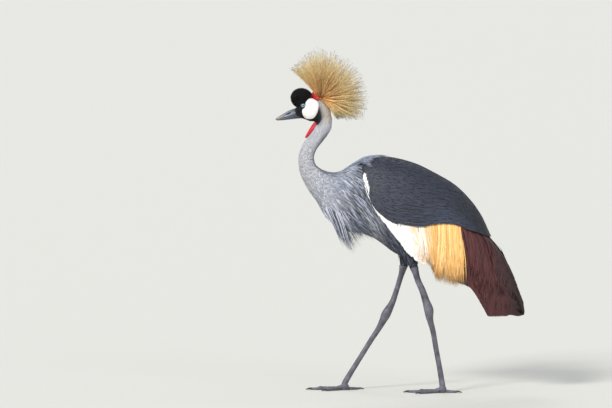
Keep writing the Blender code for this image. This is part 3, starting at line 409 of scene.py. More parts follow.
def grid_piece(name, columns, rows, place):
    """A closed piece: a grid whose corner (u, v), each from 0 to 1, is moved to place(u, v)."""
    only()
    bpy.ops.mesh.primitive_grid_add(x_subdivisions=columns, y_subdivisions=rows, size=1)
    obj = bpy.context.object
    obj.name = obj.data.name = name
    flat = points_of(obj) + 0.5
    move_points(obj, place(flat[:, 0], flat[:, 1]))
    return closed(obj)


def modify(obj, kind, **settings):
    """Adds a modifier and applies it."""
    only(obj)
    modifier = obj.modifiers.new(kind.lower(), kind)
    for key, value in settings.items():
        setattr(modifier, key, value)
    bpy.ops.object.modifier_apply(modifier=modifier.name)


def joined(name, objects):
    """Joins modelled pieces into one object."""
    only()
    for obj in objects:
        obj.select_set(True)
    bpy.context.view_layer.objects.active = objects[0]
    bpy.ops.object.join()
    made = bpy.context.object
    made.name = made.data.name = name
    return made


def keep(obj, finish, slot, *replaced):
    """Gives a finished piece its material and its place in the frame."""
    obj.data.materials.clear()
    obj.data.materials.append(finish)
    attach(obj, "root")
    if replaced:
        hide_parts(*replaced)


def rounded(angle, power):
    """The cosine and sine of a superellipse."""
    c, s = np.cos(angle), np.sin(angle)
    return np.sign(c) * np.abs(c) ** (2 / power), np.sign(s) * np.abs(s) ** (2 / power)


def path_tube(rows, u, v, start=0.0, end=1.0, y=0.0, swell=None, blunt=30):
    """Corners of a tube along (X, Z, half depth, half width) rows, closed at both ends. Swell
    gives what is added to the radius at an angle and a share."""
    s = start + (end - start) * v
    row, step = spline(rows, s), 0.01
    way = unit((spline(rows, s + step) - spline(rows, s - step))[:, :2])
    outer = np.stack((-way[:, 1], np.zeros(len(s)), way[:, 0]), -1)
    angle = 2 * math.pi * u
    close = np.sqrt(np.clip(1 - np.abs(2 * v - 1) ** blunt, 0, 1))
    more = 0.0 if swell is None else swell(angle, s)
    centre = np.stack((row[:, 0], np.full(len(s), y), row[:, 1]), -1)
    level = np.array((0.0, 1.0, 0.0))
    return (centre + outer * ((row[:, 2] + more) * np.cos(angle) * close)[:, None]
            + level * ((row[:, 3] + more) * np.sin(angle) * close)[:, None])


print("grid tools are ready")

# %% [markdown]
# ## Materials
# Every finish is made of nodes, so it has detail at any distance. The plumage finish reads the
# values that the blades keep. Fine barbs slant away from the shaft on both sides, the shaft is a
# dark line where the feather has one, the edges are a little paler, and no two feathers are
# quite alike. Bare skin has pores and folds, and horn has growth lines.

# %% Node tools
def srgb(red, green, blue):
    """A colour as a screen shows it, 0 to 255, in the linear values that light has."""
    value = np.array((red, green, blue), float) / 255
    return np.where(value <= 0.04045, value / 12.92, ((value + 0.055) / 1.055) ** 2.4)


def node(tree, kind, inputs=None, **settings):
    """Adds a node. An input is a number, a colour or the output of another node."""
    made = tree.nodes.new(kind)
    for key, value in settings.items():
        setattr(made, key, value)
    for key, value in (inputs or {}).items():
        if isinstance(value, bpy.types.NodeSocket):
            tree.links.new(value, made.inputs[key])
        else:
            made.inputs[key].default_value = value
    return made


def maths(tree, operation, a, b=0.0, clamp=False):
    """One sum on two numbers."""
    made = node(tree, "ShaderNodeMath", {0: a, 1: b}, operation=operation, use_clamp=clamp)
    return made.outputs[0]


def scaled(tree, value, factor, base=0.0):
    """A value times a factor, added to a base."""
    return maths(tree, "ADD", base, maths(tree, "MULTIPLY", value, factor))


def vector(tree, *parts):
    return node(tree, "ShaderNodeCombineXYZ", dict(enumerate(parts))).outputs[0]


def in_space(tree):
    """The place of a point of the piece, in metres."""
    return node(tree, "ShaderNodeTexCoord").outputs["Object"]


def paint(tree, shader, colour, light=None):
    """Gives the shader its colour, multiplied by a number that makes it lighter or darker."""
    if light is not None:
        grey = node(tree, "ShaderNodeCombineColor", {0: light, 1: light, 2: light}).outputs[0]
        colour = node(tree, "ShaderNodeMix", {0: 1.0, 6: colour, 7: grey}, data_type="RGBA",
                      blend_type="MULTIPLY").outputs[2]
    tree.links.new(colour, shader.inputs["Base Color"])


def attribute(tree, name, output="Fac"):
    return node(tree, "ShaderNodeAttribute", attribute_name=name).outputs[output]


def noise(tree, where, scale, detail=3.0):
    made = node(tree, "ShaderNodeTexNoise", {"Vector": where, "Scale": scale, "Detail": detail})
    return made.outputs["Fac"]


def colour4(colour):
    return (*[float(c) for c in colour], 1.0)


def ramp(tree, share, stops):
    """A colour ramp from (place, colour) stops."""
    made = node(tree, "ShaderNodeValToRGB", {"Fac": share})
    elements = made.color_ramp.elements
    while len(elements) < len(stops):
        elements.new(0.5)
    for element, (place, colour) in zip(elements, stops):
        element.position = place
        element.color = colour4(colour)
    return made.outputs["Color"]


def new_finish(name, roughness, **sockets):
    """A material with its Principled shader's plain numbers set on the shader itself."""
    made = bpy.data.materials.new(name)
    made.use_nodes = True
    shader = made.node_tree.nodes["Principled BSDF"]
    shader.inputs["Roughness"].default_value = roughness
    for key, value in sockets.items():
        shader.inputs[key.replace("_", " ")].default_value = value
    return made, made.node_tree, shader


def add_bump(tree, shader, height, strength, distance):
    made = node(tree, "ShaderNodeBump",
                {"Height": height, "Strength": strength, "Distance": distance})
    tree.links.new(made.outputs["Normal"], shader.inputs["Normal"])


print("node tools are ready")

# %% Plumage
def plumage_finish(name, barbs, roughness, spread, fringe, sheen, grain=1.0):
    """Feather vanes. Barbs is how many barbs run off one side of a shaft, spread is how far
    one feather differs from the next, and grain is how strongly the barbs show."""
    made, tree, shader = new_finish(name, roughness, Sheen_Weight=sheen)
    across, along, chance = (attribute(tree, key) for key in ("across", "along", "chance"))
    away = maths(tree, "ABSOLUTE", across)
    slant = maths(tree, "SUBTRACT", maths(tree, "MULTIPLY", along, barbs),
                  maths(tree, "MULTIPLY", away, barbs * 0.10))
    barb = noise(tree, vector(tree, scaled(tree, chance, 17.0, slant), across, chance), 3.0, 2.0)
    fine = noise(tree, vector(tree, scaled(tree, across, 5.0), along, chance), 4.0, 3.0)
    light = scaled(tree, chance, spread, 1 - spread / 2)
    for part, share in ((fine, 0.38 * grain), (barb, 0.22 * grain)):
        light = maths(tree, "MULTIPLY", light, scaled(tree, part, 2 * share, 1 - share))
    light = scaled(tree, maths(tree, "POWER", away, 3.0), fringe, light)
    shaft = maths(tree, "SUBTRACT", 1.0, maths(tree, "MULTIPLY", away, 2.2), clamp=True)
    dark = maths(tree, "MULTIPLY", shaft, attribute(tree, "streak"))
    light = maths(tree, "MULTIPLY", light, maths(tree, "SUBTRACT", 1.0, dark, clamp=True))
    paint(tree, shader, attribute(tree, "plumage", "Color"), light)
    add_bump(tree, shader, barb, 0.35, 0.0004)
    return made


def under_finish(name, depth):
    """The down between the feathers: the same colours, darkened by depth as painted shade for the
    gaps between the feathers.
    """
    made, tree, shader = new_finish(name, 0.9, Sheen_Weight=0.1)
    fluff = noise(tree, in_space(tree), 420.0, 4.0)
    # Painted shade: the plumage colour is multiplied by depth, plus soft noise.
    paint(tree, shader, attribute(tree, "plumage", "Color"), scaled(tree, fluff, 0.5, depth))
    add_bump(tree, shader, fluff, 0.6, 0.001)
    return made


def floor_finish():
    made, _, shader = new_finish("studio_floor", 0.9)
    shader.inputs["Base Color"].default_value = colour4(srgb(208, 208, 203))
    return made


SOFT_PLUMAGE = plumage_finish("soft_plumage", 26.0, 0.8, 0.60, 0.10, 0.10)
NECK_PLUMAGE = plumage_finish("neck_plumage", 20.0, 0.85, 0.07, 0.05, 0.10, 0.4)
WING_PLUMAGE = plumage_finish("wing_plumage", 60.0, 0.55, 0.30, 0.02, 0.03, 0.7)
WHITE_PLUMAGE = plumage_finish("white_plumage", 20.0, 0.6, 0.06, 0.05, 0.03, 0.25)
SILKY_PLUMAGE = plumage_finish("silky_plumage", 20.0, 0.5, 0.45, 0.25, 0.10)
# Two shaded copies of the down: painted shade darkens the first to 0.45 and the second to 0.65 of
# the plumage colour.
DEEP_SHADED_DOWN, LIGHT_SHADED_DOWN = under_finish("down", 0.45), under_finish("light_shaded_down", 0.65)
floor.data.materials.append(floor_finish())
print("plumage finishes:", SOFT_PLUMAGE.name, WING_PLUMAGE.name, SILKY_PLUMAGE.name, DEEP_SHADED_DOWN.name)

# %% [markdown]
# ## The skin
# Under the feathers lies one body. The solids of the torso, neck, head and thighs are copied,
# swollen a little so that they run into each other, and remeshed into one closed surface with
# no seams. It is smoothed, most of all where the neck leaves the breast, and then drawn in by
# the depth of the coat, so that the tips of the feathers come out at the true outline.

# %% One surface from the flesh
FLESH = ("torso", "neck", "head", "thigh_left", "thigh_right")
SWELL = 0.0008
VOXEL = 0.0023
NECK_FOOT = (-0.222, 0.545)
NECK_FOOT_REACH = 0.075

copies = []
for name in FLESH:
    copy = bpy.data.objects.new("flesh", nodes[name].data.copy())
    bpy.context.scene.collection.objects.link(copy)
    copies.append(copy)
skin = joined("skin", copies)
bpy.ops.object.mode_set(mode="EDIT")
bpy.ops.mesh.select_all(action="SELECT")
bpy.ops.mesh.remove_doubles(threshold=1e-5)
bpy.ops.object.mode_set(mode="OBJECT")
modify(skin, "DISPLACE", strength=SWELL, mid_level=0.0)
modify(skin, "REMESH", mode="VOXEL", voxel_size=VOXEL)
modify(skin, "SMOOTH", factor=0.5, iterations=14)
points = points_of(skin)
far = np.hypot(points[:, 0] - NECK_FOOT[0], points[:, 2] - NECK_FOOT[1])
weight = 1 - ease(NECK_FOOT_REACH * 0.4, NECK_FOOT_REACH, far)
group = skin.vertex_groups.new(name="neck_foot")
for i in np.nonzero(weight > 0)[0]:
    group.add([int(i)], float(weight[i]), "REPLACE")
modify(skin, "SMOOTH", factor=0.6, iterations=160, vertex_group="neck_foot")
skin.vertex_groups.clear()
print("skin:", len(skin.data.vertices), "corners")

# %% [markdown]
# The feathers lie along the bird: back over the head, down the neck and back over the trunk. A
# line through the middle of the bird gives that direction anywhere. The same line unrolls the
# skin like a sleeve, which gives each point its place on a flat map.

# %% The line through the bird
AXIS = (
    (-0.285, 0.760), (-0.255, 0.768), (-0.228, 0.765), (-0.208, 0.748), (-0.203, 0.728),
    (-0.220, 0.698), (-0.2405, 0.6715), (-0.2515, 0.646), (-0.252, 0.624), (-0.245, 0.601),
    (-0.227, 0.578), (-0.1985, 0.556), (-0.150, 0.540), (-0.090, 0.525), (0.0, 0.490),
    (0.100, 0.450), (0.190, 0.420),
)
AXIS_SOFT = 0.034
axis = spline(AXIS, np.linspace(0, 1, 160))
axis_length = np.append(0, np.cumsum(np.linalg.norm(np.diff(axis, axis=0), axis=1)))
axis_way = unit(np.gradient(axis, axis=0))
LEG_TOP, THIGH_MAP = 0.378, 0.86


def on_axis(points):
    """How far along the line each point is, the line's way there, and the turn round it."""
    flat = points[:, (0, 2)]
    gap = ((flat[:, None] - axis[None]) ** 2).sum(-1)
    weight = np.exp(-(gap - gap.min(1, keepdims=True)) / (2 * AXIS_SOFT ** 2))
    weight /= weight.sum(1, keepdims=True)
    way = unit(weight @ axis_way)
    middle = weight @ axis
    rise = (flat[:, 1] - middle[:, 1]) * way[:, 0] - (flat[:, 0] - middle[:, 0]) * way[:, 1]
    return weight @ axis_length, way, np.arctan2(points[:, 1], rise)


def skin_map(points):
    """Each point's place on the unrolled skin, from 0 to 1 both ways."""
    length, _, turn = on_axis(points)
    u = 0.02 + 0.80 * (turn / (2 * math.pi) + 0.5)
    v = 0.02 + 0.94 * length / axis_length[-1]
    leg = on_leg(points) > 0.5
    round_leg = np.arctan2(points[:, 1], points[:, 0]) / (2 * math.pi) + 0.5
    u = np.where(leg, THIGH_MAP + 0.1 * round_leg, u)
    v = np.where(leg, 0.1 + 0.8 * ease(0.30, 0.42, points[:, 2]), v)
    return np.stack((u, v), -1)


def on_leg(points):
    """1 on the thighs below the trunk, 0 elsewhere."""
    x, z = points[:, 0], points[:, 2]
    inside = (1 - ease(0.075, 0.090, x)) * ease(-0.035, -0.020, x)
    return inside * (1 - ease(LEG_TOP - 0.014, LEG_TOP, z))


# %% Draw the skin in by the depth of the coat
COAT_DEPTH = ((0, 0.0014), (0.06, 0.0018), (0.11, 0.0030), (0.20, 0.0042), (0.31, 0.0058),
              (0.36, 0.0062), (0.72, 0.0062))
coat_depth = curve(COAT_DEPTH)

points = points_of(skin)
points = points - points_of(skin, "normal") * coat_depth(on_axis(points)[0])[:, None]
move_points(skin, points)
modify(skin, "SMOOTH", factor=0.5, iterations=3)
print("skin drawn in by up to", round(float(coat_depth(0.5)) * 1000, 1), "mm")

# %% [markdown]
# ## Markings
# One rule gives the colour of the plumage at any point of the bird, and both the skin and the
# feathers use it. The neck is pale blue-grey, darker down its nape, partly in its own colour and
# partly as painted shade on the side away from the light. The throat is black up to the edge of
# the white cheek, and the hind neck has a buff wash under the crest. From the breast the grey
# deepens along the flank to slate on the belly.

# %% The colour of the plumage
NECK_GREY, BREAST_GREY = srgb(233, 235, 243), srgb(212, 216, 230)
MANTLE_GREY, FLANK_GREY, BELLY_GREY = srgb(176, 184, 204), srgb(96, 103, 124), srgb(62, 67, 83)
# The nape's grey is partly its own darker colour and partly painted shade on the side away from the
# light.
NAPE_GREY_AND_SHADE, THIGH_GREY, BUFF = srgb(104, 110, 134), srgb(80, 84, 98), srgb(226, 205, 176)
VELVET, THROAT = srgb(11, 11, 13), srgb(52, 55, 66)
# The back edge of the black throat, as (Z, X).
THROAT_EDGE = (
    (0.7195, -0.2380), (0.7235, -0.2270), (0.7290, -0.2160), (0.7450, -0.2085),
    (0.7600, -0.2100), (0.7830, -0.2180), (0.8100, -0.2240),
)
throat_edge = curve(THROAT_EDGE)


def one_colour(colour, count):
    """The same colour for count feathers or points."""
    return np.repeat(colour[None], count, 0)


def toward(a, b, share):
    """Colours a moved towards b by a share, or by each one's own share."""
    return a + (b - a) * np.broadcast_to(share, (len(a),))[:, None]


def plumage_colour(points):
    x, z = points[:, 0], points[:, 2]
    length, _, turn = on_axis(points)
    away = np.abs(turn) / math.pi
    colour = one_colour(NECK_GREY, len(points))
    colour = toward(colour, BREAST_GREY, ease(0.24, 0.32, length))
    # The nape is darkened: partly its own colour, partly painted shade.
    nape = (1 - ease(0.10, 0.34, away)) * ease(0.10, 0.14, length) * (1 - ease(0.27, 0.33, length))
    colour = toward(colour, NAPE_GREY_AND_SHADE, nape * 0.85)
    upper = (1 - ease(0.42, 0.62, away)) * ease(0.29, 0.36, length)
    colour = toward(colour, MANTLE_GREY, upper)
    deep = (x + 0.13) / 0.16 + (0.50 - z) / 0.16
    colour = toward(colour, FLANK_GREY, ease(-0.1, 0.8, deep))
    colour = toward(colour, BELLY_GREY, ease(0.75, 1.7, deep))
    buff = ease(-0.222, -0.205, x) * ease(0.722, 0.752, z)
    colour = toward(colour, BUFF, buff * 0.6)
    edge = throat_edge(z)
    black = (1 - ease(-0.0060, 0.0070, x - edge)) * ease(0.712, 0.730, z)
    throat = toward(one_colour(VELVET, len(x)), THROAT, ease(-0.016, 0.0, x - edge))
    colour = colour + (throat - colour) * black[:, None]
    return toward(colour, THIGH_GREY, on_leg(points))


def streaks(points):
    """Darker and paler lines that run along the coat of the trunk, from 0 to 1."""
    length, _, turn = on_axis(points)
    line = np.abs(turn) * 9.0 + 2.2 * length
    wave = (np.sin(3.1 * line + 1.3 * np.sin(21 * length)) + np.sin(7.3 * line + 9 * length)
            + 0.7 * np.sin(13.7 * line - 14 * length + 2 * np.sign(turn)))
    return ease(-1.7, 1.7, wave)


STREAK_DEPTH = 0.70
GAP_SHADE = 0.69

points = points_of(skin)
shade = 1 - GAP_SHADE * ease(0.27, 0.36, on_axis(points)[0])
store(skin.data, {"plumage": plumage_colour(points) * shade[:, None]})
corner = np.empty(len(skin.data.loops), np.int32)
skin.data.loops.foreach_get("vertex_index", corner)
layer = skin.data.uv_layers.new(name="OFBake")
layer.uv.foreach_set("vector", skin_map(points)[corner].astype(np.float32).ravel())
only(skin)
bpy.ops.object.shade_smooth()
keep(skin, LIGHT_SHADED_DOWN, "grey_plumage", *FLESH)
print("skin is", len(skin.data.polygons), "faces")

# %% [markdown]
# ## The body's coat
# Each feather starts at a chance place on the skin and walks over it in small steps. A step goes
# along the line of the bird and is then pulled back to the nearest point of the skin. The path
# is lifted off the skin little by little, so the feathers lie on one another like tiles.

# %% Walk over the skin
skin.data.update()
skin.data.calc_loop_triangles()
skin_points, skin_normals = points_of(skin), points_of(skin, "normal")
loop_faces = [tuple(face.vertices) for face in skin.data.polygons]
tree_of_skin = BVHTree.FromPolygons(skin_points.tolist(), loop_faces)
quad_corners = np.array([face if len(face) == 4 else (*face, face[-1]) for face in loop_faces])
face_corners = quad_corners[:, :3]
face_normals = unit(skin_normals[quad_corners].mean(1))
skin_length, _, skin_turn = on_axis(skin_points)


def nearest(points):
    """The nearest places on the skin, and the way they face."""
    places, faces = np.empty_like(points), np.empty(len(points), int)
    for i, point in enumerate(points.tolist()):
        place, _, face, _ = tree_of_skin.find_nearest(point)
        places[i], faces[i] = place, face
    return places, face_normals[faces]


def flow(points, fall):
    """The lie of the coat: along the bird, with a share of plain falling."""
    _, way, _ = on_axis(points)
    full = np.stack((way[:, 0], np.zeros(len(way)), way[:, 1] - fall), -1)
    leg = on_leg(points)[:, None]
    return full * (1 - leg) + np.array((0.05, 0, -1.0)) * leg


def scatter(mask, spacing, seed):
    """Places on the skin where mask holds, about one in each cell of a grid, and their way."""
    chance = np.random.default_rng(seed)
    faces = np.nonzero(mask[face_corners].all(1))[0]
    tries = max(1, math.ceil(4 * (VOXEL / spacing) ** 2))
    faces = chance.permutation(np.repeat(faces, tries))
    corners = quad_corners[faces]
    a, b = chance.random((2, len(faces), 1))
    low = skin_points[corners[:, 0]] * (1 - a) + skin_points[corners[:, 1]] * a
    high = skin_points[corners[:, 3]] * (1 - a) + skin_points[corners[:, 2]] * a
    places = low * (1 - b) + high * b
    _, first = np.unique(np.floor(places / spacing).astype(int), axis=0, return_index=True)
    first = np.sort(first)
    return places[first], face_normals[faces[first]]


def walked(roots, length, fall, lift, seed, stations=5, sink=0.0008, stray=0.12):
    """Paths over the skin from scattered roots, and the way each station faces."""
    chance = np.random.default_rng(seed)
    place, face = roots
    count = len(place)
    bias = chance.normal(0, stray, count)
    path, up = [], []
    for k in range(stations):
        share = k / (stations - 1)
        rise = -sink + (lift + sink) * ease(0, 0.9, share)
        path.append(place + face * np.broadcast_to(rise, (count,))[:, None])
        up.append(face)
        if k < stations - 1:
            step = flow(place, fall)
            step = unit(step - face * (step * face).sum(1, keepdims=True))
            step = unit(step + np.cross(face, step) * bias[:, None])
            place, face = nearest(place + step * (length / (stations - 1))[:, None])
    return np.stack(path, 1), np.stack(up, 1)


x, y, z = skin_points.T
under_wing = (x > -0.070) & (z > np.where(x < 0.074, white_low(x), 0.34) + 0.022)
under_wing &= skin_normals[:, 2] > -0.55
under_wing &= x < 0.165
body = ~under_wing
print("corners of the skin that show:", int(body.sum()), "of", len(body))

# %% Neck
NECK_LENGTH = ((0.095, 0.009), (0.15, 0.014), (0.22, 0.021), (0.28, 0.034), (0.34, 0.052))
NECK_WIDTH = ((0.095, 0.0017), (0.20, 0.0024), (0.30, 0.0032), (0.34, 0.0038))
neck_length, neck_width = curve(NECK_LENGTH), curve(NECK_WIDTH)

dark_throat = plumage_colour(skin_points).sum(1) < 0.35
mask = (skin_length > 0.035) & (skin_length < 0.335) & ~((skin_length < 0.13) & dark_throat)
mask &= (x < -0.10) & ((skin_length > 0.086) | (x > -0.226))
roots = scatter(mask, 0.0021, 11)
at = on_axis(roots[0])[0]
chance = np.random.default_rng(12)
length = neck_length(at) * chance.uniform(0.8, 1.2, len(at))
path, up = walked(roots, length, 0.15, coat_depth(at) * 0.80, 13)
colour = plumage_colour(roots[0])
neck_coat = blades("neck_coat", "fine", path, up, neck_width(at), 0.0002, colour,
                   skin_map(roots[0]), 14, plumage_colour(path[:, -1]), 0.05)
keep(neck_coat, NECK_PLUMAGE, "grey_plumage", "neck")

# %% Breast, mantle, flank and belly
trunk = (skin_length > 0.300) & (on_leg(skin_points) < 0.6) & body & (z < 0.66)
upper = np.abs(skin_turn) < 0.55 * math.pi
# Name, where it grows, spacing, length, width, lift, fall, darkness of the shafts, and the
# nodes it stands for.
trunk_sets = (
    ("mantle_coat", trunk & upper & (x < 0.0),
     0.0088, 0.080, 0.0056, 0.0066, 0.70, 0.80, ("mantle", "torso")),
    ("breast_coat", trunk & ~upper & (x < -0.085),
     0.0078, 0.100, 0.0036, 0.0066, 1.10, 0.85, ("breast_plumes", "torso")),
    ("flank_coat", trunk & ((~upper & (x >= -0.100)) | (upper & (x >= 0.0))),
     0.0092, 0.074, 0.0066, 0.0060, 0.75, 0.60, ("torso",)),
)
for seed, row in enumerate(trunk_sets):
    name, mask, spacing, long, wide, lift, fall, streak, replaced = row
    roots = scatter(mask, spacing, 21 + seed)
    chance = np.random.default_rng(31 + seed)
    count = len(roots[0])
    length = long * chance.uniform(0.75, 1.2, count)
    path, up = walked(roots, length, fall, lift, 41 + seed)
    depth = STREAK_DEPTH * ease(0.27, 0.35, on_axis(roots[0])[0])
    colour = plumage_colour(roots[0]) * (1 - depth * (1 - streaks(roots[0])))[:, None]
    width = wide * chance.uniform(0.75, 1.15, count)
    coat = blades(name, "lance", path, up, width, 0.0009, colour, skin_map(roots[0]),
                  51 + seed, streak=streak * chance.uniform(0.3, 1.0, count), cup=0.12)
    keep(coat, SOFT_PLUMAGE, "grey_plumage", *replaced)

# %% Thighs
mask = on_leg(skin_points) > 0.35
roots = scatter(mask, 0.0040, 61)
chance = np.random.default_rng(62)
length = 0.021 * chance.uniform(0.8, 1.2, len(roots[0]))
path, up = walked(roots, length, 0.4, 0.0030, 63)
thigh_coat = blades("thigh_coat", "lance", path, up, 0.0048, 0.0007, plumage_colour(roots[0]),
                    skin_map(roots[0]), 64, streak=0.3)
keep(thigh_coat, SOFT_PLUMAGE, "grey_plumage", "thigh_left", "thigh_right")

# %% [markdown]
# The long plumes of the breast leave the body and hang free below it. A few dozen locks share
# them out: the plumes of one lock start apart on the foot of the neck and draw together towards
# a common tip, which leaves gaps between the locks. The plumes at the edges of each lock lie
# deeper and are painted almost belly-dark, as painted shade in those gaps.

# %% Hanging plumes of the breast
LOCK_TIPS = (
    (-0.143, 0.400), (-0.132, 0.384), (-0.122, 0.374), (-0.112, 0.378), (-0.104, 0.392),
    (-0.096, 0.403), (-0.086, 0.411), (-0.075, 0.411), (-0.062, 0.412),
)
LOCK_ROWS = 4
LOCK_HALF_SPREAD = 0.050
PLUMES_IN_LOCK = 9
PLUME_ROOTS = ((-0.222, 0.560), (-0.130, 0.520))

paths, widths, edges = [], [], []
chance = np.random.default_rng(71)
stations = np.linspace(0, 1, 7)
for side in (-1, 1):
    for row in range(LOCK_ROWS):
        for n, (tip_x, tip_z) in enumerate(LOCK_TIPS):
            aside = side * LOCK_HALF_SPREAD * ((row + 0.5) / LOCK_ROWS + chance.normal(0, 0.05))
            tip = np.array((tip_x + chance.normal(0, 0.003) - 0.002 * row, aside,
                            tip_z + 0.010 * row * (n > 3) + chance.normal(0, 0.004)))
            for _ in range(PLUMES_IN_LOCK):
                off = chance.normal(0, 0.6)
                share = np.clip((n + off) / (len(LOCK_TIPS) - 1), 0, 1)
                foot = np.array(PLUME_ROOTS[0]) * (1 - share) + np.array(PLUME_ROOTS[1]) * share
                root = np.array((foot[0] + chance.normal(0, 0.006),
                                 aside * 0.9 + side * 0.010 + chance.normal(0, 0.008),
                                 foot[1] - 0.03 * (1 - row / LOCK_ROWS) + chance.normal(0, 0.008)))
                end = tip + chance.normal(0, 0.0026, 3)
                end = root + (end - root) * chance.uniform(0.80, 1.0)
                middle = (root + end) / 2 + np.array((-0.004, side * 0.004, 0.0))
                paths.append(arc(root, middle, end, stations[:, None]))
                widths.append(chance.uniform(0.0016, 0.0030))
                edges.append(abs(off) > 0.34)
path, edge = np.array(paths), np.array(edges)
flat = path.reshape(-1, 3)
place, face = nearest(flat)
above = ((flat - place) * face).sum(1)
lift = np.tile(0.0082 * ease(0.0, 0.55, stations) - 0.0008, len(path))
lift = lift + np.repeat(np.where(edge, -0.0016, 0.0012), len(stations))
free = np.tile(ease(0.45, 0.8, stations), len(path))
target = np.where(above[:, None] < lift[:, None], place + face * lift[:, None], flat)
snap = place + face * lift[:, None]
path = (snap * (1 - free)[:, None] + target * free[:, None]).reshape(path.shape)
up = unit(face.reshape(path.shape) + np.array((-0.2, 0, 0)))
colour = toward(one_colour(BREAST_GREY, len(path)), FLANK_GREY,
                ease(-0.125, -0.070, path[:, -1, 0]))
# Painted shade: the plumes at the edges of the locks are darkened almost to belly grey, for the
# shade in the gaps between the locks.
colour = toward(colour, BELLY_GREY, np.where(edge, 0.95, 0.0))
tips = toward(colour, MANTLE_GREY, np.where(edge, 0.1, 0.4))
hanging = blades("hanging_plumes", "strand", path, up, np.array(widths), 0.0008, colour,
                 skin_map(path[:, 0]), 72, tips, 0.25)
keep(hanging, SOFT_PLUMAGE, "grey_plumage", "breast_plumes")

# %% [markdown]
# ## The folded wings
# A folded wing is layers of feathers on one curved side surface. That surface is a rule of X and
# of a share v of the way up it, so a feather's path is drawn on it like a line on a map and is
# then sunk by a small depth. The root lies deep and the tip lies on top, so each feather
# overlaps the next.

# %% The wing's side surface
def wing_share(x, z):
    low, top = hang(x), back(x)
    t = np.clip((z - low) / (top - low), 0, 1)
    rise = np.clip((t - WING_MID) / (1 - WING_MID), 0, 1)
    angle = np.arcsin(rise ** (WING_ROUND / 2)) / (math.pi / 2)
    upper = WING_LOWER_SHARE + (1 - WING_LOWER_SHARE) * angle
    return np.where(t <= WING_MID, WING_LOWER_SHARE * t / WING_MID, upper)


def wing_surface(x, v):
    low, top, wide = hang(x), back(x), wing_half_width(x)
    below = WING_MID * v / WING_LOWER_SHARE
    angle = np.clip((v - WING_LOWER_SHARE) / (1 - WING_LOWER_SHARE), 0, 1) * math.pi / 2
    above = WING_MID + (1 - WING_MID) * np.sin(angle) ** (2 / WING_ROUND)
    lower = v <= WING_LOWER_SHARE
    t = np.where(lower, below, above)
    y = np.where(lower, 1 - WING_TUCK * ((WING_MID - below) / WING_MID) ** 2,
                 np.clip(np.cos(angle), 0, 1) ** (2 / WING_ROUND))
    return np.stack((x, wide * y, low + t * (top - low)), -1)


def wing_place(side, x, v, depth):
    """Points under the wing's surface by depth, and the way they face."""
    near = np.clip(v, 0.03, 0.97)
    forth = wing_surface(x + 0.002, near) - wing_surface(x - 0.002, near)
    up = wing_surface(x, near + 0.02) - wing_surface(x, near - 0.02)
    normal = np.cross(up, forth)
    normal[..., 1] *= 1 - ease(0.90, 1.0, v)
    normal = unit(normal)
    point = wing_surface(x, v) - normal * np.asarray(depth)[..., None]
    mirror = np.array((1, side, 1))
    return point * mirror, normal * mirror


def wing_map(x, v):
    return np.stack((0.03 + 0.9 * (x + 0.12) / 0.47, 0.03 + 0.9 * v), -1)


def bed(name, side, first, last, low, high, depth, thick, colour):
    """A thin closed sheet on the wing's surface, under a layer's feathers."""
    def place(u, v):
        x = first + (last - first) * v
        turn = np.abs(2 * u - 1)
        a, b = wing_share(x, low(x)), wing_share(x, high(x))
        inner = np.where(u > 0.5, thick, 0.0) * np.sin(math.pi * np.clip(turn, 0, 1)) ** 0.25
        close = np.clip(np.sin(math.pi * v), 0, 1) ** 0.1
        return wing_place(side, x, a + (b - a) * turn, depth + inner * close)[0]

    made = grid_piece(name, 49, 40, place)
    store(made.data, {"plumage": one_colour(colour, len(made.data.vertices))})
    return made


print("wing is", round(float(wing_surface(0.03, 0.4)[1]) * 2000), "mm wide over both sides")

# %% [markdown]
# The slate shield is made of the scapulars and the wing's coverts. Their rows run from the
# shoulder like the lines on a shell: the lowest follow the shield's lower edge and the highest
# follow the back. Each row is measured along its length, so feathers can be set on it at an
# even pitch, a share of the feather's own length.

# %% The slate shield
SHIELD_ROWS = 46
SHIELD_FRONT, SHIELD_BACK = -0.114, 0.2515
SHIELD_PITCH = 0.15
SHIELD_LENGTH = ((0.0, 0.032), (0.12, 0.062), (0.25, 0.095), (0.42, 0.125), (0.60, 0.135))
# The second colour is painted shade for the rear of the shield. The third is a bluish tone: a
# painted highlight low on the shield, and the real tone of some cape feathers.
SLATE, SLATE_SHADE, SLATE_BLUE = srgb(42, 47, 62), srgb(15, 17, 24), srgb(66, 76, 100)
SHIELD_START = ((0.0, -0.094), (0.55, -0.088), (0.80, -0.070), (1.0, -0.036))
shield_start = curve(SHIELD_START)
shield_length = curve(SHIELD_LENGTH)


def slate_colour(x, v):
    """Slate with painted shade that darkens it to the rear and along the back, and a painted bluish
    highlight low down.
    """
    colour = one_colour(SLATE, len(x))
    low = 1 - ease(0.42, 0.60, v)
    # Painted highlight: a bluish band on the lower shield.
    colour = toward(colour, SLATE_BLUE, low * ease(-0.02, 0.08, x) * 0.5)
    # Painted shade: darker towards the rear, away from the light.
    return toward(colour, SLATE_SHADE, ease(0.02, 0.24, x) * 0.9)


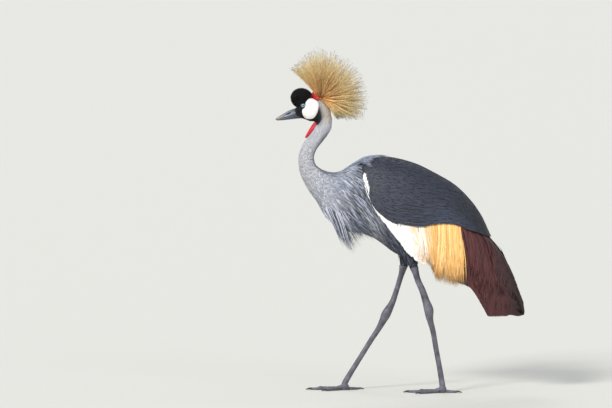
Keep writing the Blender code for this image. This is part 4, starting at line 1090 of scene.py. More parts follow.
def shield(side, word):
    chance = np.random.default_rng(81 + side)
    xs = np.linspace(SHIELD_FRONT, SHIELD_BACK, 260)
    low = wing_share(xs, shield_low(xs))
    paths, ups, widths, starts, vs = [], [], [], [], []
    for row in range(SHIELD_ROWS):
        share = row / (SHIELD_ROWS - 1)
        v = low + (1 - low) * (0.012 + 0.988 * share)
        line = wing_surface(xs, v)
        run = np.append(0, np.cumsum(np.linalg.norm(np.diff(line, axis=0), axis=1)))
        at = np.interp(shield_start(share) - 0.012, xs, run) + chance.uniform(0, 0.012)
        while at < run[-1] - 0.012:
            long = min(float(shield_length(at)) * chance.uniform(0.85, 1.15), run[-1] - at)
            s = at + long * np.linspace(0, 1, 6)
            x = np.interp(s, run, xs)
            drift = chance.normal(0, 0.006) * np.linspace(0, 1, 6)
            here = np.clip(np.interp(x, xs, v) + drift, low.min(), 1.0)
            depth = 0.0030 - 0.0024 * ease(0, 0.9, np.linspace(0, 1, 6))
            point, normal = wing_place(side, x, here, depth + chance.uniform(-0.0003, 0.0003))
            pitch = float(np.interp(x[3], xs, (1 - low))) * 0.30 / SHIELD_ROWS
            paths.append(point)
            ups.append(normal)
            widths.append(np.clip(pitch * 3.2, 0.004, 0.0072) * chance.uniform(0.7, 1.3))
            starts.append(x[0])
            vs.append(here[0])
            at += max(SHIELD_PITCH * long, 0.008) * chance.uniform(0.8, 1.2)
    x, v = np.array(starts), np.array(vs)
    made = blades(f"shield_feathers_{word}", "sleek", np.array(paths), np.array(ups),
                  np.array(widths), 0.0005, slate_colour(x, v), wing_map(x, v), 83 + side,
                  streak=0.04, cup=0.02)
    keep(made, WING_PLUMAGE, "slate_plumage", f"shield_{word}")
    sheet = bed(f"shield_bed_{word}", side, SHIELD_FRONT + 0.012, SHIELD_BACK - 0.004,
                lambda x: shield_low(x) + 0.003, back, 0.0036, 0.0015, SLATE)
    keep(sheet, DEEP_SHADED_DOWN, "slate_plumage", f"shield_{word}")


def cape(side, word):
    """The mantle's last feathers, which lie over the front of the shield."""
    chance = np.random.default_rng(85 + side)
    share = np.sort(chance.uniform(0.50, 1.0, CAPE_COUNT))
    end = shield_start(share) + chance.normal(0.004, 0.008, CAPE_COUNT)
    long = chance.uniform(0.046, 0.080, CAPE_COUNT) * (1 - chance.beta(1, 3, CAPE_COUNT) * 0.5)
    start = np.maximum(end - long, -0.128)
    t = np.linspace(0, 1, 6)[None]
    x = start[:, None] + (end - start)[:, None] * t
    low = wing_share(x, shield_low(x))
    v = low + (1 - low) * np.clip(share[:, None] + 0.10 * (1 - t) ** 2, 0, 1)
    point, normal = wing_place(side, x, v, 0.0030 - 0.0034 * ease(0, 0.8, t))
    colour = toward(one_colour(MANTLE_GREY, CAPE_COUNT), SLATE_BLUE,
                    0.10 + 0.85 * chance.random(CAPE_COUNT))
    made = blades(f"cape_feathers_{word}", "lance", point, normal,
                  chance.uniform(0.0036, 0.0062, CAPE_COUNT), 0.0008, colour,
                  wing_map(x[:, 0], v[:, 0]), 87 + side, streak=0.8, cup=0.1)
    keep(made, SOFT_PLUMAGE, "grey_plumage", "mantle")


CAPE_COUNT = 300
for side, word in SIDES:
    shield(side, word)
    cape(side, word)

# %% [markdown]
# Below the shield come the white coverts, then the straw-gold plumes, and behind them the
# chestnut inner flight feathers, which droop past the tail. Each layer is a fan: its roots lie
# on one line under the shield, its tips lie on the layer's lower edge, and shorter tiers lie on
# top of the longest.

# %% Fans of feathers
def fan(side, roots, bends, tips, depths, stations=6, wave=0.0, chance=None):
    """Paths on the wing's surface from roots by bends to tips, all as (X, Z) rows."""
    t = np.linspace(0, 1, stations)[None, :, None]
    flat = arc(roots[:, None], bends[:, None], tips[:, None], t)
    if wave:
        phase = chance.uniform(0, 2 * math.pi, (len(roots), 1))
        flat[..., 0] += wave * np.sin(phase + 7.0 * t[..., 0]) * t[..., 0]
    x = flat[..., 0]
    v = wing_share(x, flat[..., 1])
    share = t[..., 0]
    depth = depths[0][:, None] + (depths[1] - depths[0])[:, None] * ease(0, 0.8, share)
    point, normal = wing_place(side, x, v, depth)
    return point, normal, wing_map(x[:, 0], v[:, 0])


WHITE, WHITE_SHADE = srgb(254, 252, 250), srgb(242, 240, 242)
GOLD, GOLD_PALE, GOLD_DEEP = srgb(255, 200, 116), srgb(255, 228, 172), srgb(236, 164, 84)
WHITE_COUNT = 720
SLIVER_COUNT = 60


def white_coverts(side, word):
    chance = np.random.default_rng(91 + side)
    share = np.sort(chance.uniform(0, 1, WHITE_COUNT))
    tips = spline(WHITE_EDGE, share)
    start = tips[:, 0] - 0.014 - 0.016 * share
    top = np.maximum(shield_low(start) + 0.012, tips[:, 1] + 0.030)
    roots = np.stack((start, top), -1)
    reach = np.clip(1 - np.abs(chance.normal(0, 0.30, WHITE_COUNT)), 0.15, 1.0)
    tips = roots + (tips - roots) * reach[:, None]
    bends = (roots + tips) / 2 + np.array((-0.005, -0.006))
    deep = 0.0048 + 0.0036 * reach + chance.uniform(-0.0002, 0.0002, WHITE_COUNT)
    point, normal, where = fan(side, roots, bends, tips, (deep + 0.001, deep - 0.0012))
    width = 0.0080 * chance.uniform(0.7, 1.2, WHITE_COUNT)
    sliver = np.linspace(0, 1, SLIVER_COUNT)
    line = spline(((-0.098, 0.599), (-0.093, 0.586), (-0.088, 0.570), (-0.0855, 0.556)), sliver)
    ends = line + np.array((0.003, -0.018)) * chance.uniform(0.7, 1.1, (SLIVER_COUNT, 1))
    line[:, 0] += 0.004 + chance.normal(0, 0.0012, SLIVER_COUNT)
    zero = np.zeros(SLIVER_COUNT)
    more = fan(side, line, (line + ends) / 2 - np.array((0.002, 0)), ends,
               (zero + 0.001, zero - 0.0022))
    point, normal, where = (np.concatenate(both) for both in zip((point, normal, where), more))
    width = np.append(width, 0.0038 * (1.2 - sliver))
    colour = toward(one_colour(WHITE, len(width)), WHITE_SHADE,
                    chance.uniform(0, 1, len(width)))
    warm = ease(0.84, 1.10, share + chance.normal(0, 0.05, WHITE_COUNT))
    colour[:WHITE_COUNT] = toward(colour[:WHITE_COUNT], GOLD, warm * 0.9)
    made = blades(f"white_feathers_{word}", "flight", point, normal, width, 0.0004, colour, where,
                  93 + side)
    keep(made, WHITE_PLUMAGE, "white_plumage", f"white_coverts_{word}")
    sheet = bed(f"white_bed_{word}", side, -0.094, 0.090, lambda x: white_low(x) + 0.008,
                lambda x: np.maximum(shield_low(x) + 0.014, white_low(x) + 0.012), 0.0092, 0.0015,
                WHITE)
    keep(sheet, LIGHT_SHADED_DOWN, "white_plumage", f"white_coverts_{word}")


GOLD_COUNT = 900


def gold_plumes(side, word):
    chance = np.random.default_rng(101 + side)
    share = np.sort(chance.uniform(-0.05, 1.0, GOLD_COUNT))
    inside = np.clip(share, 0, 1)
    tips = spline(GOLD_EDGE, inside)
    tips[:, 0] += np.where(share < 0, share * 0.5, 0) + chance.normal(0, 0.003, GOLD_COUNT)
    tips[:, 1] += np.where(share < 0, 0.006, 0)
    roots = np.stack((0.052 + 0.116 * inside, shield_low(0.052 + 0.116 * inside) + 0.010), -1)
    reach = 1 - np.abs(chance.normal(0, 0.13, GOLD_COUNT))
    tips = roots + (tips - roots) * np.clip(reach, 0.35, 1.0)[:, None]
    bends = (roots + tips) / 2 + np.array((0.004, 0.0))
    deep = chance.uniform(0.0045, 0.0110, GOLD_COUNT)
    point, normal, where = fan(side, roots, bends, tips, (deep + 0.001, deep - 0.001), 7, 0.0022,
                               chance)
    colour = toward(one_colour(GOLD, GOLD_COUNT), GOLD_PALE,
                    chance.beta(0.7, 1.6, GOLD_COUNT))
    colour = toward(colour, GOLD_DEEP, chance.beta(0.5, 2.5, GOLD_COUNT))
    white = 1 - ease(-0.05, 0.30, share + chance.normal(0, 0.07, GOLD_COUNT))
    colour = toward(colour, WHITE, 0.75 * white)
    tip_colour = toward(colour, GOLD_DEEP, 0.15)
    made = blades(f"gold_feathers_{word}", "strand", point, normal,
                  chance.uniform(0.0022, 0.0040, GOLD_COUNT), 0.0008, colour, where, 103 + side,
                  tip_colour, 0.05)
    keep(made, SILKY_PLUMAGE, "gold_plumage", f"gold_plumes_{word}")
    sheet = bed(f"gold_bed_{word}", side, 0.070, 0.172,
                lambda x: np.maximum(gold_low(x), white_low(x)) + 0.030,
                lambda x: shield_low(x) + 0.010, 0.0110, 0.0015, GOLD)
    keep(sheet, LIGHT_SHADED_DOWN, "gold_plumage", f"gold_plumes_{word}")


for side, word in SIDES:
    white_coverts(side, word)
    gold_plumes(side, word)

# %% Chestnut flight feathers
CHESTNUT, CHESTNUT_DARK, CHESTNUT_RED = srgb(74, 31, 33), srgb(28, 13, 16), srgb(98, 43, 42)
CHESTNUT_COUNT = 280
CHESTNUT_EDGE_COUNT = 96


def chestnut_feathers(side, word):
    """Long narrow plumes over an even row of blunt feathers, which makes the lower edge."""
    chance = np.random.default_rng(111 + side)
    plumes = np.clip(1 - np.abs(chance.normal(0, 0.24, CHESTNUT_COUNT)), 0.25, 0.97)
    rows = (("edge", "flight", np.linspace(0, 1, CHESTNUT_EDGE_COUNT), 0.995, 0.0150),
            ("plumes", "sleek", chance.uniform(0, 1, CHESTNUT_COUNT), plumes, 0.0105))
    for kind, pattern, share, reach, wide in rows:
        count = len(share)
        reach = reach * np.ones(count)
        line = 0.158 + 0.088 * share
        top = np.minimum(shield_low(line) + 0.012, back(line) - 0.001)
        roots = np.stack((line, top), -1)
        tips = roots + (spline(CHESTNUT_EDGE, share) - roots) * reach[:, None]
        lean = np.stack((0.010 + 0.040 * share, 0.016 + 0.020 * share), -1)
        bends = (roots + tips) / 2 + lean * reach[:, None]
        bends[:, 1] = np.minimum(bends[:, 1], back(bends[:, 0]) + 0.004)
        deep = 0.0065 + 0.0055 * reach + chance.uniform(-0.0004, 0.0004, count)
        rise = 0.0052 * ease(0.0, 0.16, share)
        point, normal, where = fan(side, roots, bends, tips, (deep, deep - 0.0012 - rise), 7)
        belly = np.sin(math.pi * np.linspace(0, 1, 7)) * 0.013
        point[..., 0] += belly * ease(0.45, 1.0, share)[:, None]
        colour = toward(one_colour(CHESTNUT, count), CHESTNUT_RED,
                        chance.uniform(0, 0.8, count))
        colour = toward(colour, CHESTNUT_DARK, ease(0.45, 1.0, share) * 0.9)
        tip_colour = toward(colour, CHESTNUT_DARK, 0.18)
        made = blades(f"chestnut_{kind}_{word}", pattern, point, normal,
                      wide * chance.uniform(0.8, 1.1, count), 0.0007, colour, where, 113 + side,
                      tip_colour, 0.10, 0.05, -0.04 * side)
        keep(made, WING_PLUMAGE, "chestnut_plumage", f"secondaries_{word}")
    low = curve(((0.160, 0.330), (0.195, 0.300), (0.222, 0.255), (0.247, 0.222), (0.334, 0.222)))
    sheet = bed(f"chestnut_bed_{word}", side, 0.164, 0.330, low,
                lambda x: np.minimum(shield_low(x) + 0.010, back(x)), 0.0142, 0.0015,
                CHESTNUT_DARK)
    keep(sheet, DEEP_SHADED_DOWN, "chestnut_plumage", f"secondaries_{word}")


BLACK = srgb(20, 20, 23)


def black_feathers(side, word):
    chance = np.random.default_rng(121 + side)
    count = 12
    share = np.linspace(0, 1, count)
    tips = np.stack((0.150 + 0.048 * share, 0.303 - 0.020 * share), -1)
    roots = np.stack((0.100 + 0.046 * share, 0.408 + 0.018 * share), -1)
    bends = np.stack((0.120 + 0.052 * share, 0.345 + 0.013 * share), -1)
    deep = 0.0200 + 0.0008 * np.arange(count) % 0.003
    point, normal, where = fan(side, roots, bends, tips, (deep, deep))
    point[..., 2] -= 0.010 * np.linspace(0, 1, 6) ** 2
    made = blades(f"primary_feathers_{word}", "covert", point, normal, 0.016, 0.0009,
                  one_colour(BLACK, count) * chance.uniform(0.8, 1.4, (count, 1)), where,
                  123 + side, streak=0.2, cup=0.08, roll=-0.10 * side)
    keep(made, WING_PLUMAGE, "black_plumage", f"primaries_{word}")


for side, word in SIDES:
    chestnut_feathers(side, word)
    black_feathers(side, word)

# %% Tail
TAIL_FEATHERS = 14
turn = np.linspace(-1, 1, TAIL_FEATHERS)
t = np.linspace(0, 1, 6)[None, :, None]
zero = np.zeros(TAIL_FEATHERS)
roots = np.stack((zero + 0.1610, turn * 0.018, zero + 0.404), -1)[:, None]
bends = np.stack((zero + 0.182, turn * 0.028, zero + 0.362), -1)[:, None]
tips = np.stack((0.201 - 0.008 * turn ** 2, turn * 0.031, 0.290 + 0.010 * turn ** 2), -1)[:, None]
path = arc(roots, bends, tips, t)
face = unit(np.stack((zero + 0.8, 0.45 * turn, zero + 0.45), -1))
path += face[:, None] * (0.0012 * (np.arange(TAIL_FEATHERS) % 2))[:, None, None]
tail = blades("tail_feathers", "covert", path, np.repeat(face[:, None], 6, 1), 0.0175, 0.0010,
              one_colour(BLACK, TAIL_FEATHERS), skin_map(path[:, 0]), 131, streak=0.2,
              cup=0.06)
keep(tail, WING_PLUMAGE, "black_plumage", "tail")

# %% [markdown]
# ## The head
# The head gets the most care. Its side is a rule of X and Z, as the wing's is, so the bare
# patches of skin can be drawn as outlines on it and raised a little. A patch is a lens: its
# front is a low cushion whose edge rolls down under the short feathers around it.

# %% The side of the head
# (X, Z of the middle, half height, half width)
HEAD = (
    (-0.2850, 0.7580, 0.0130, 0.0085), (-0.2780, 0.7610, 0.0170, 0.0120),
    (-0.2680, 0.7665, 0.0220, 0.0155), (-0.2560, 0.7700, 0.0280, 0.0188),
    (-0.2430, 0.7690, 0.0335, 0.0212), (-0.2290, 0.7675, 0.0325, 0.0222),
    (-0.2160, 0.7650, 0.0310, 0.0220), (-0.2030, 0.7620, 0.0265, 0.0205),
    (-0.1920, 0.7570, 0.0190, 0.0170), (-0.1850, 0.7530, 0.0110, 0.0110),
)
HEAD_ROUND = 2.2
EYE, EYE_RADIUS = (-0.2605, 0.0142, 0.7795), 0.0062
CAP_CENTRE, CAP_RADII, CAP_TILT = (-0.2645, 0, 0.7985), (0.0295, 0.0205, 0.0265), 0.25
CREST_ROOT, CREST_MOUND = (-0.2140, 0, 0.7985), (0.0130, 0.0100, 0.0080)
CHEEK_OUTLINE = (
    (-0.2420, 0.8000), (-0.2310, 0.7970), (-0.2205, 0.7900), (-0.2180, 0.7800),
    (-0.2215, 0.7620), (-0.2310, 0.7460), (-0.2450, 0.7420), (-0.2570, 0.7460),
    (-0.2630, 0.7560), (-0.2635, 0.7680), (-0.2560, 0.7750), (-0.2540, 0.7880),
)
RED_OUTLINE = (
    (-0.2410, 0.8012), (-0.2385, 0.8110), (-0.2340, 0.8160), (-0.2260, 0.8110),
    (-0.2190, 0.8020), (-0.2188, 0.7930), (-0.2305, 0.7984),
)
head_middle, head_height, head_width = (curve(HEAD, n) for n in (1, 2, 3))


def head_side(x, z):
    """How far the side of the head lies from its middle plane."""
    share = np.clip(np.abs(z - head_middle(x)) / head_height(x), 0, 1)
    side = head_width(x) * (1 - share ** HEAD_ROUND) ** (1 / HEAD_ROUND)
    for centre, radii, tilt in ((CAP_CENTRE, CAP_RADII, CAP_TILT),
                                (CREST_ROOT, np.array(CREST_MOUND) * 1.25, 0.0)):
        dx, dz = x - centre[0], z - centre[2]
        a = dx * math.cos(tilt) - dz * math.sin(tilt)
        b = dx * math.sin(tilt) + dz * math.cos(tilt)
        left = np.clip(1 - (a / radii[0]) ** 2 - (b / radii[2]) ** 2, 0, 1)
        side = np.maximum(side, radii[1] * np.sqrt(left))
    return side


def outline_point(outline, u):
    """The point at share u of the way round a smooth closed outline."""
    rows = np.array(outline)
    i = np.floor(u * len(rows)).astype(int)
    near = (rows[(i + n) % len(rows)] for n in (-1, 0, 1, 2))
    return between(*near, (u * len(rows) - i)[:, None])


def face_patch(name, outline, side, rise, thick=0.003):
    middle = np.mean(outline, 0)

    def place(u, v):
        radius = 1 - np.abs(2 * v - 1)
        edge = outline_point(outline, u)
        flat = middle + (edge - middle) * radius[:, None] ** 0.9
        y = head_side(flat[:, 0], flat[:, 1])
        lift = rise * (1 - radius ** 5) - 0.0007 * radius ** 8
        back_side = np.where(v > 0.5, thick * (1 - radius ** 6), 0)
        return np.stack((flat[:, 0], side * (y + lift - back_side), flat[:, 1]), -1)

    return grid_piece(name, 97, 61, place)


print("head is", round(float(head_width(-0.229)) * 2000), "mm wide at the cheeks")

# %% Bare skin finishes
def skin_finish(name, colour, deep, scale, bump, roughness, gloss=0.0):
    """Bare skin: small warts and folds, paler on top and deeper between."""
    made, tree, shader = new_finish(name, roughness, Coat_Weight=gloss, Coat_Roughness=0.3,
                                    Subsurface_Weight=0.2, Subsurface_Scale=0.002)
    where = in_space(tree)
    warts = node(tree, "ShaderNodeTexVoronoi", {"Vector": where, "Scale": scale}).outputs[0]
    folds = noise(tree, where, scale * 0.35, 4.0)
    height = scaled(tree, folds, 0.8, maths(tree, "MULTIPLY", warts, 0.6))
    paint(tree, shader, ramp(tree, height, ((0.35, colour), (0.95, deep))))
    add_bump(tree, shader, height, bump, 0.0006)
    return made


CHEEK_SKIN = skin_finish("cheek_skin", srgb(250, 248, 246), srgb(222, 214, 212), 900.0, 0.5, 0.55)
RED_SKIN = skin_finish("red_skin", srgb(240, 22, 52), srgb(150, 4, 24), 800.0, 0.7, 0.45, 0.2)
LID_SKIN = skin_finish("lid_skin", srgb(74, 84, 104), srgb(26, 30, 40), 1500.0, 0.6, 0.5, 0.1)

# %% Cheeks, red patches and wattle
WATTLE = (
    (-0.2235, 0.7330, 0.0060, 0.0070), (-0.2300, 0.7235, 0.0075, 0.0080),
    (-0.2400, 0.7100, 0.0066, 0.0072), (-0.2490, 0.6985, 0.0044, 0.0052),
    (-0.2550, 0.6910, 0.0020, 0.0024),
)
CHEEK_RISE, RED_RISE = 0.0017, 0.0014

for side, word in SIDES:
    cheek = face_patch(f"cheek_skin_{word}", CHEEK_OUTLINE, side, CHEEK_RISE)
    keep(cheek, CHEEK_SKIN, "cheek_skin", f"cheek_{word}")
    patch = face_patch(f"red_skin_{word}", RED_OUTLINE, side, RED_RISE)
    keep(patch, RED_SKIN, "red_skin", f"red_patch_{word}")


def wattle_folds(angle, share):
    """Shallow lengthwise folds and a cleft down the front."""
    return 0.0004 * np.sin(9 * angle + 6 * share) - 0.0012 * np.exp(-((angle - math.pi) / 0.3) ** 2)


wattle = grid_piece("wattle", 73, 90,
                    lambda u, v: path_tube(WATTLE, u, v, swell=wattle_folds, blunt=12))
keep(wattle, RED_SKIN, "red_skin", "throat_wattle")
print("bare skin: cheeks, red patches and wattle")

# %% [markdown]
# The eye is a ball whose pole looks outwards, so that pupil and iris are rings around it. The
# cornea bulges a little over them. A lid is a low ring of bare skin that hugs the ball.

# %% Eyes
PUPIL, IRIS, RIM, RINGS = 0.0021, 0.0044, 0.0050, 0.008
CORNEA_BULGE = 0.0005
LID_RING, LID_HALF_WIDTH, LID_HALF_HEIGHT = 0.0054, 0.0015, 0.0011


def eye_finish(side):
    """Rings of colour round the eye's middle: pupil, iris and a dark rim."""
    made, tree, shader = new_finish(f"eye_{side}", 0.08, Coat_Weight=1.0, Coat_Roughness=0.02)
    where = in_space(tree)
    moved = node(tree, "ShaderNodeMapping", {"Vector": where, "Location": (-EYE[0], 0, -EYE[2])})
    flat = node(tree, "ShaderNodeVectorMath", {0: moved.outputs[0], 1: (1, 0, 1)},
                operation="MULTIPLY")
    radius = node(tree, "ShaderNodeVectorMath", {0: flat.outputs[0]}, operation="LENGTH")
    grain = maths(tree, "SUBTRACT", noise(tree, where, 2200.0, 3.0), 0.5)
    radius = scaled(tree, grain, 0.0006, radius.outputs["Value"])
    black = srgb(6, 6, 8)
    stops = ((0.0, black), (PUPIL / RINGS, black), (PUPIL / RINGS + 0.02, srgb(112, 146, 176)),
             (0.42, srgb(176, 204, 222)), (IRIS / RINGS, srgb(136, 166, 192)),
             (RIM / RINGS, srgb(14, 17, 24)), (1.0, srgb(8, 9, 12)))
    paint(tree, shader, ramp(tree, maths(tree, "DIVIDE", radius, RINGS), stops))
    return made


def lid(name, side):
    def place(u, v):
        round_eye, round_tube = 2 * math.pi * u, 2 * math.pi * v
        wrinkle = 1 + 0.10 * np.sin(13 * round_eye) * np.sin(round_tube)
        radius = LID_RING + LID_HALF_WIDTH * np.cos(round_tube) * wrinkle
        x = EYE[0] + 1.10 * radius * np.cos(round_eye)
        z = EYE[2] + 0.93 * radius * np.sin(round_eye)
        ball = np.sqrt(np.clip((EYE_RADIUS + 0.0006) ** 2 - LID_RING ** 2, 0, 1))
        y = EYE[1] + ball + LID_HALF_HEIGHT * np.sin(round_tube) * wrinkle - 0.0002
        return np.stack((x, side * (y - 0.0008 * (radius > LID_RING)), z), -1)

    return grid_piece(name, 97, 25, place)


for side, word in SIDES:
    ball = ball_piece(f"eyeball_{word}", 72, 48, EYE_RADIUS)
    local = points_of(ball)
    turned = np.stack((local[:, 0], local[:, 2] * side, local[:, 1] * -side), -1)
    flat = np.hypot(turned[:, 0], turned[:, 2])
    front = ease(0, 0.004, turned[:, 1] * side)
    turned[:, 1] += side * CORNEA_BULGE * front * (1 - ease(0.0, 0.0042, flat))
    move_points(ball, turned + np.array((EYE[0], EYE[1] * side, EYE[2])))
    keep(closed(ball), eye_finish(word), "eyes", f"eye_{word}")
    ring = lid(f"eyelid_{word}", side)
    keep(ring, LID_SKIN, "cheek_skin")
print("eyes:", round(EYE_RADIUS * 2000, 1), "mm balls with lids")

# %% [markdown]
# The bill is two halves that meet along the mouth. Each is one arch, drawn out from the face to
# the tip. A groove runs forward from the face on each side of the upper half, and the slit of
# the nostril lies in it. Horn is streaked along its length and wears brown at the tip.

# %% Bill
MOUTH_LINE = ((-0.3362, 0.7400), (-0.3150, 0.7447), (-0.2960, 0.7490), (-0.2620, 0.7570))
BILL_UPPER = (
    (-0.3362, 0.7412, 0.0004), (-0.3345, 0.7432, 0.0018), (-0.3280, 0.7482, 0.0034),
    (-0.3155, 0.7560, 0.0050), (-0.3020, 0.7640, 0.0066), (-0.2860, 0.7706, 0.0084),
    (-0.2620, 0.7765, 0.0104),
)
BILL_LOWER = (
    (-0.3336, 0.7390, 0.0004), (-0.3318, 0.7384, 0.0017), (-0.3280, 0.7383, 0.0028),
    (-0.3155, 0.7390, 0.0044), (-0.3020, 0.7404, 0.0060), (-0.2860, 0.7424, 0.0078),
    (-0.2620, 0.7446, 0.0098),
)
MOUTH_GAP = 0.0004
NOSTRIL, NOSTRIL_HALF = (-0.3000, 0.7572), (0.0052, 0.0015)
NOSTRIL_TILT, NOSTRIL_DEEP = 0.42, 0.0026
GROOVE_HALF, GROOVE_DEEP = 0.0026, 0.0011
mouth_line = curve(MOUTH_LINE)


def bill_half(name, table, upper, columns, rows):
    edge_line, half_width = curve(table), curve(table, 2)
    first, last = table[0][0], table[-1][0]
    up = 1 if upper else -1

    def place(u, v):
        x = first + (last - first) * v ** 1.15
        mouth = mouth_line(x) + up * MOUTH_GAP / 2
        edge, wide = edge_line(x), half_width(x)
        c, s = rounded(2 * math.pi * u, 1.75 if upper else 2.2)
        arch = np.clip(s, 0, 1)
        y = wide * c
        z = mouth + (edge - mouth) * arch
        if upper:
            dx, dz = x - NOSTRIL[0], z - NOSTRIL[1]
            along = dx * math.cos(NOSTRIL_TILT) + dz * math.sin(NOSTRIL_TILT)
            over = dz * math.cos(NOSTRIL_TILT) - dx * math.sin(NOSTRIL_TILT)
            slit = np.exp(-((along / NOSTRIL_HALF[0]) ** 2 + (over / NOSTRIL_HALF[1]) ** 2) ** 2)
            groove = np.exp(-(over / GROOVE_HALF) ** 2) * ease(-0.3180, -0.3050, x)
            deep = NOSTRIL_DEEP * slit + GROOVE_DEEP * groove
            y -= np.sign(y) * np.minimum(deep, np.abs(y) * 0.8) * (s > 0)
        close = np.where(v >= 1, 0.0, 1.0)
        return np.stack((x, y * close, mouth + (z - mouth) * close), -1)

    return grid_piece(name, columns, rows, place)


def horn_finish():
    """Horn streaked along its length, brown at the tip and dark at the face."""
    made, tree, shader = new_finish("bill_horn", 0.38, Coat_Weight=0.25, Coat_Roughness=0.25)
    where = in_space(tree)
    long = node(tree, "ShaderNodeMapping", {"Vector": where, "Scale": (60, 500, 500)}).outputs[0]
    streak = noise(tree, long, 1.0, 4.0)
    split = node(tree, "ShaderNodeSeparateXYZ", {0: where}).outputs[0]
    share = node(tree, "ShaderNodeMapRange", {0: split, 1: -0.337, 2: -0.262}).outputs[0]
    wander = scaled(tree, maths(tree, "SUBTRACT", streak, 0.5), 0.16, share)
    colour = ramp(tree, wander, ((0.0, srgb(77, 60, 54)), (0.16, srgb(91, 79, 77)),
                                 (0.34, srgb(77, 82, 97)), (0.62, srgb(64, 71, 87)),
                                 (0.86, srgb(40, 45, 56)), (1.0, srgb(15, 17, 21))))
    paint(tree, shader, colour, scaled(tree, streak, 0.6, 0.68))
    add_bump(tree, shader, streak, 0.25, 0.0004)
    return made


HORN = horn_finish()
bill_top = bill_half("bill_top", BILL_UPPER, True, 121, 150)
keep(bill_top, HORN, "bill", "bill_upper")
bill_under = bill_half("bill_under", BILL_LOWER, False, 81, 90)
keep(bill_under, HORN, "bill", "bill_lower")
print("bill:", round((BILL_UPPER[-1][0] - BILL_UPPER[0][0]) * 1000), "mm long")

# %% [markdown]
# Short velvet covers the forehead, the face and the throat. Each hair of it is a small spike,
# because only the outline and the way it swallows light are seen. On the cap the spikes stand up
# and lean back, like plush. Under them is a smooth cushion of the cap's shape.

# %% Velvet
def velvet_finish():
    """Dull short hairs, each a little lighter or darker than the next."""
    made, tree, shader = new_finish("velvet", 0.95, Sheen_Weight=0.08)
    light = scaled(tree, attribute(tree, "chance"), 0.9, 0.6)
    paint(tree, shader, attribute(tree, "plumage", "Color"), light)
    return made


VELVET_FINISH = velvet_finish()
CAP_DEEP = 0.0020
CAP_SPIKES = 9000
GOLDEN_TURN = math.pi * (3 - math.sqrt(5))
FACE_SPACING, FACE_LENGTH = 0.0012, 0.0036

cushion = ball_piece("cap_cushion", 80, 48)
cap_turn = np.array(((math.cos(CAP_TILT), 0, -math.sin(CAP_TILT)), (0, 1, 0),
                     (math.sin(CAP_TILT), 0, math.cos(CAP_TILT))))
move_points(cushion, points_of(cushion) * (np.array(CAP_RADII) - CAP_DEEP) @ cap_turn
            + np.array(CAP_CENTRE))
store(cushion.data, {"plumage": one_colour(VELVET, len(cushion.data.vertices))})
keep(cushion, DEEP_SHADED_DOWN, "black_plumage", "forehead_cap")

n = np.arange(CAP_SPIKES)
height = 1 - 2 * (n + 0.5) / CAP_SPIKES
golden, level = GOLDEN_TURN * n, np.sqrt(1 - height ** 2)
ball = np.stack((level * np.cos(golden), level * np.sin(golden), height), -1)
place = (ball * (np.array(CAP_RADII) - CAP_DEEP)) @ cap_turn + np.array(CAP_CENTRE)
face = unit((ball / np.array(CAP_RADII)) @ cap_turn)
inside = np.abs(place[:, 1]) < head_width(place[:, 0]) * 0.93
inside &= place[:, 2] < head_middle(place[:, 0]) + head_height(place[:, 0]) * 0.90
place, face, ball = place[~inside], face[~inside], ball[~inside]
chance = np.random.default_rng(141)
lean = unit(face + np.array((0.42, 0, 0.18)) + chance.normal(0, 0.12, face.shape))
long = 0.0052 * chance.uniform(0.8, 1.05, len(place))[:, None]
path = np.stack((place - face * 0.0004, place + lean * long * 0.5,
                 place + lean * long - face * 0.0004), 1)
up = np.repeat(unit(np.cross(lean, (0.0, 1.0, 0.02)))[:, None], 3, 1)
where = np.stack((0.5 + 0.45 * ball[:, 0], 0.5 + 0.45 * ball[:, 2] * np.sign(ball[:, 1])), -1)
plush = blades("cap_plush", "spike", path, up, 0.0007, 0.0006,
               one_colour(VELVET, len(place)), where, 142)
keep(plush, VELVET_FINISH, "black_plumage", "forehead_cap")

# %% Face and throat
def near_outline(points, outline, shrink=0.92):
    """True where a point lies inside an outline, drawn in a little towards its middle."""
    rows = outline_point(outline, np.linspace(0, 1, 60, endpoint=False))
    rows = rows.mean(0) + (rows - rows.mean(0)) * shrink
    x, z = points[:, 0], points[:, 2]
    inside = np.zeros(len(points), bool)
    for (x1, z1), (x2, z2) in zip(rows, np.roll(rows, -1, 0)):
        crosses = (z1 > z) != (z2 > z)
        at = (x2 - x1) * (z - z1) / np.where(z2 == z1, 1, z2 - z1) + x1
        inside ^= crosses & (x < at)
    return inside


mask = (skin_length < 0.140) & (skin_points[:, 2] > 0.712)
place, face = scatter(mask, FACE_SPACING, 151)
eye_gap = np.hypot(place[:, 0] - EYE[0], place[:, 2] - EYE[2])
dark = plumage_colour(place).sum(1) < 0.42
bare = near_outline(place, CHEEK_OUTLINE) | near_outline(place, RED_OUTLINE)
bare |= (eye_gap < 0.0064) | (place[:, 0] < -0.2795)
chosen = dark & ~bare
place, face = place[chosen], face[chosen]
chance = np.random.default_rng(152)
grown = 0.6 + 0.4 * ease(-0.28, -0.25, place[:, 0])
long = FACE_LENGTH * chance.uniform(0.75, 1.1, len(place)) * grown
path, up = walked((place, face), long, 0.1, 0.0017, 153, stations=3, sink=0.0004)
face_velvet = blades("face_velvet", "spike", path, up, 0.0007, 0.0005, plumage_colour(place),
                     skin_map(place), 154, plumage_colour(place) * 1.3)
keep(face_velvet, VELVET_FINISH, "black_plumage", "head")

# %% [markdown]
# ## The crest
# The crown is a round fan of stiff golden bristles. Each bristle is a thin, slightly crooked
# quill that leaves a small mound behind the cap. Fine side barbs, paler than the quill, make the
# outer half look like spun straw, and the tips are dark.

# %% Crest
CREST_REACH, CREST_LEAN, CREST_SPREAD, CREST_FLATTEN = 0.132, 0.85, 1.62, 0.55
CREST_BRISTLES = 1080
BARBS = 17
CREST_BASE, CREST_MID = srgb(238, 168, 92), srgb(246, 204, 138)
CREST_OUT, CREST_TIP = srgb(232, 208, 150), srgb(92, 78, 50)


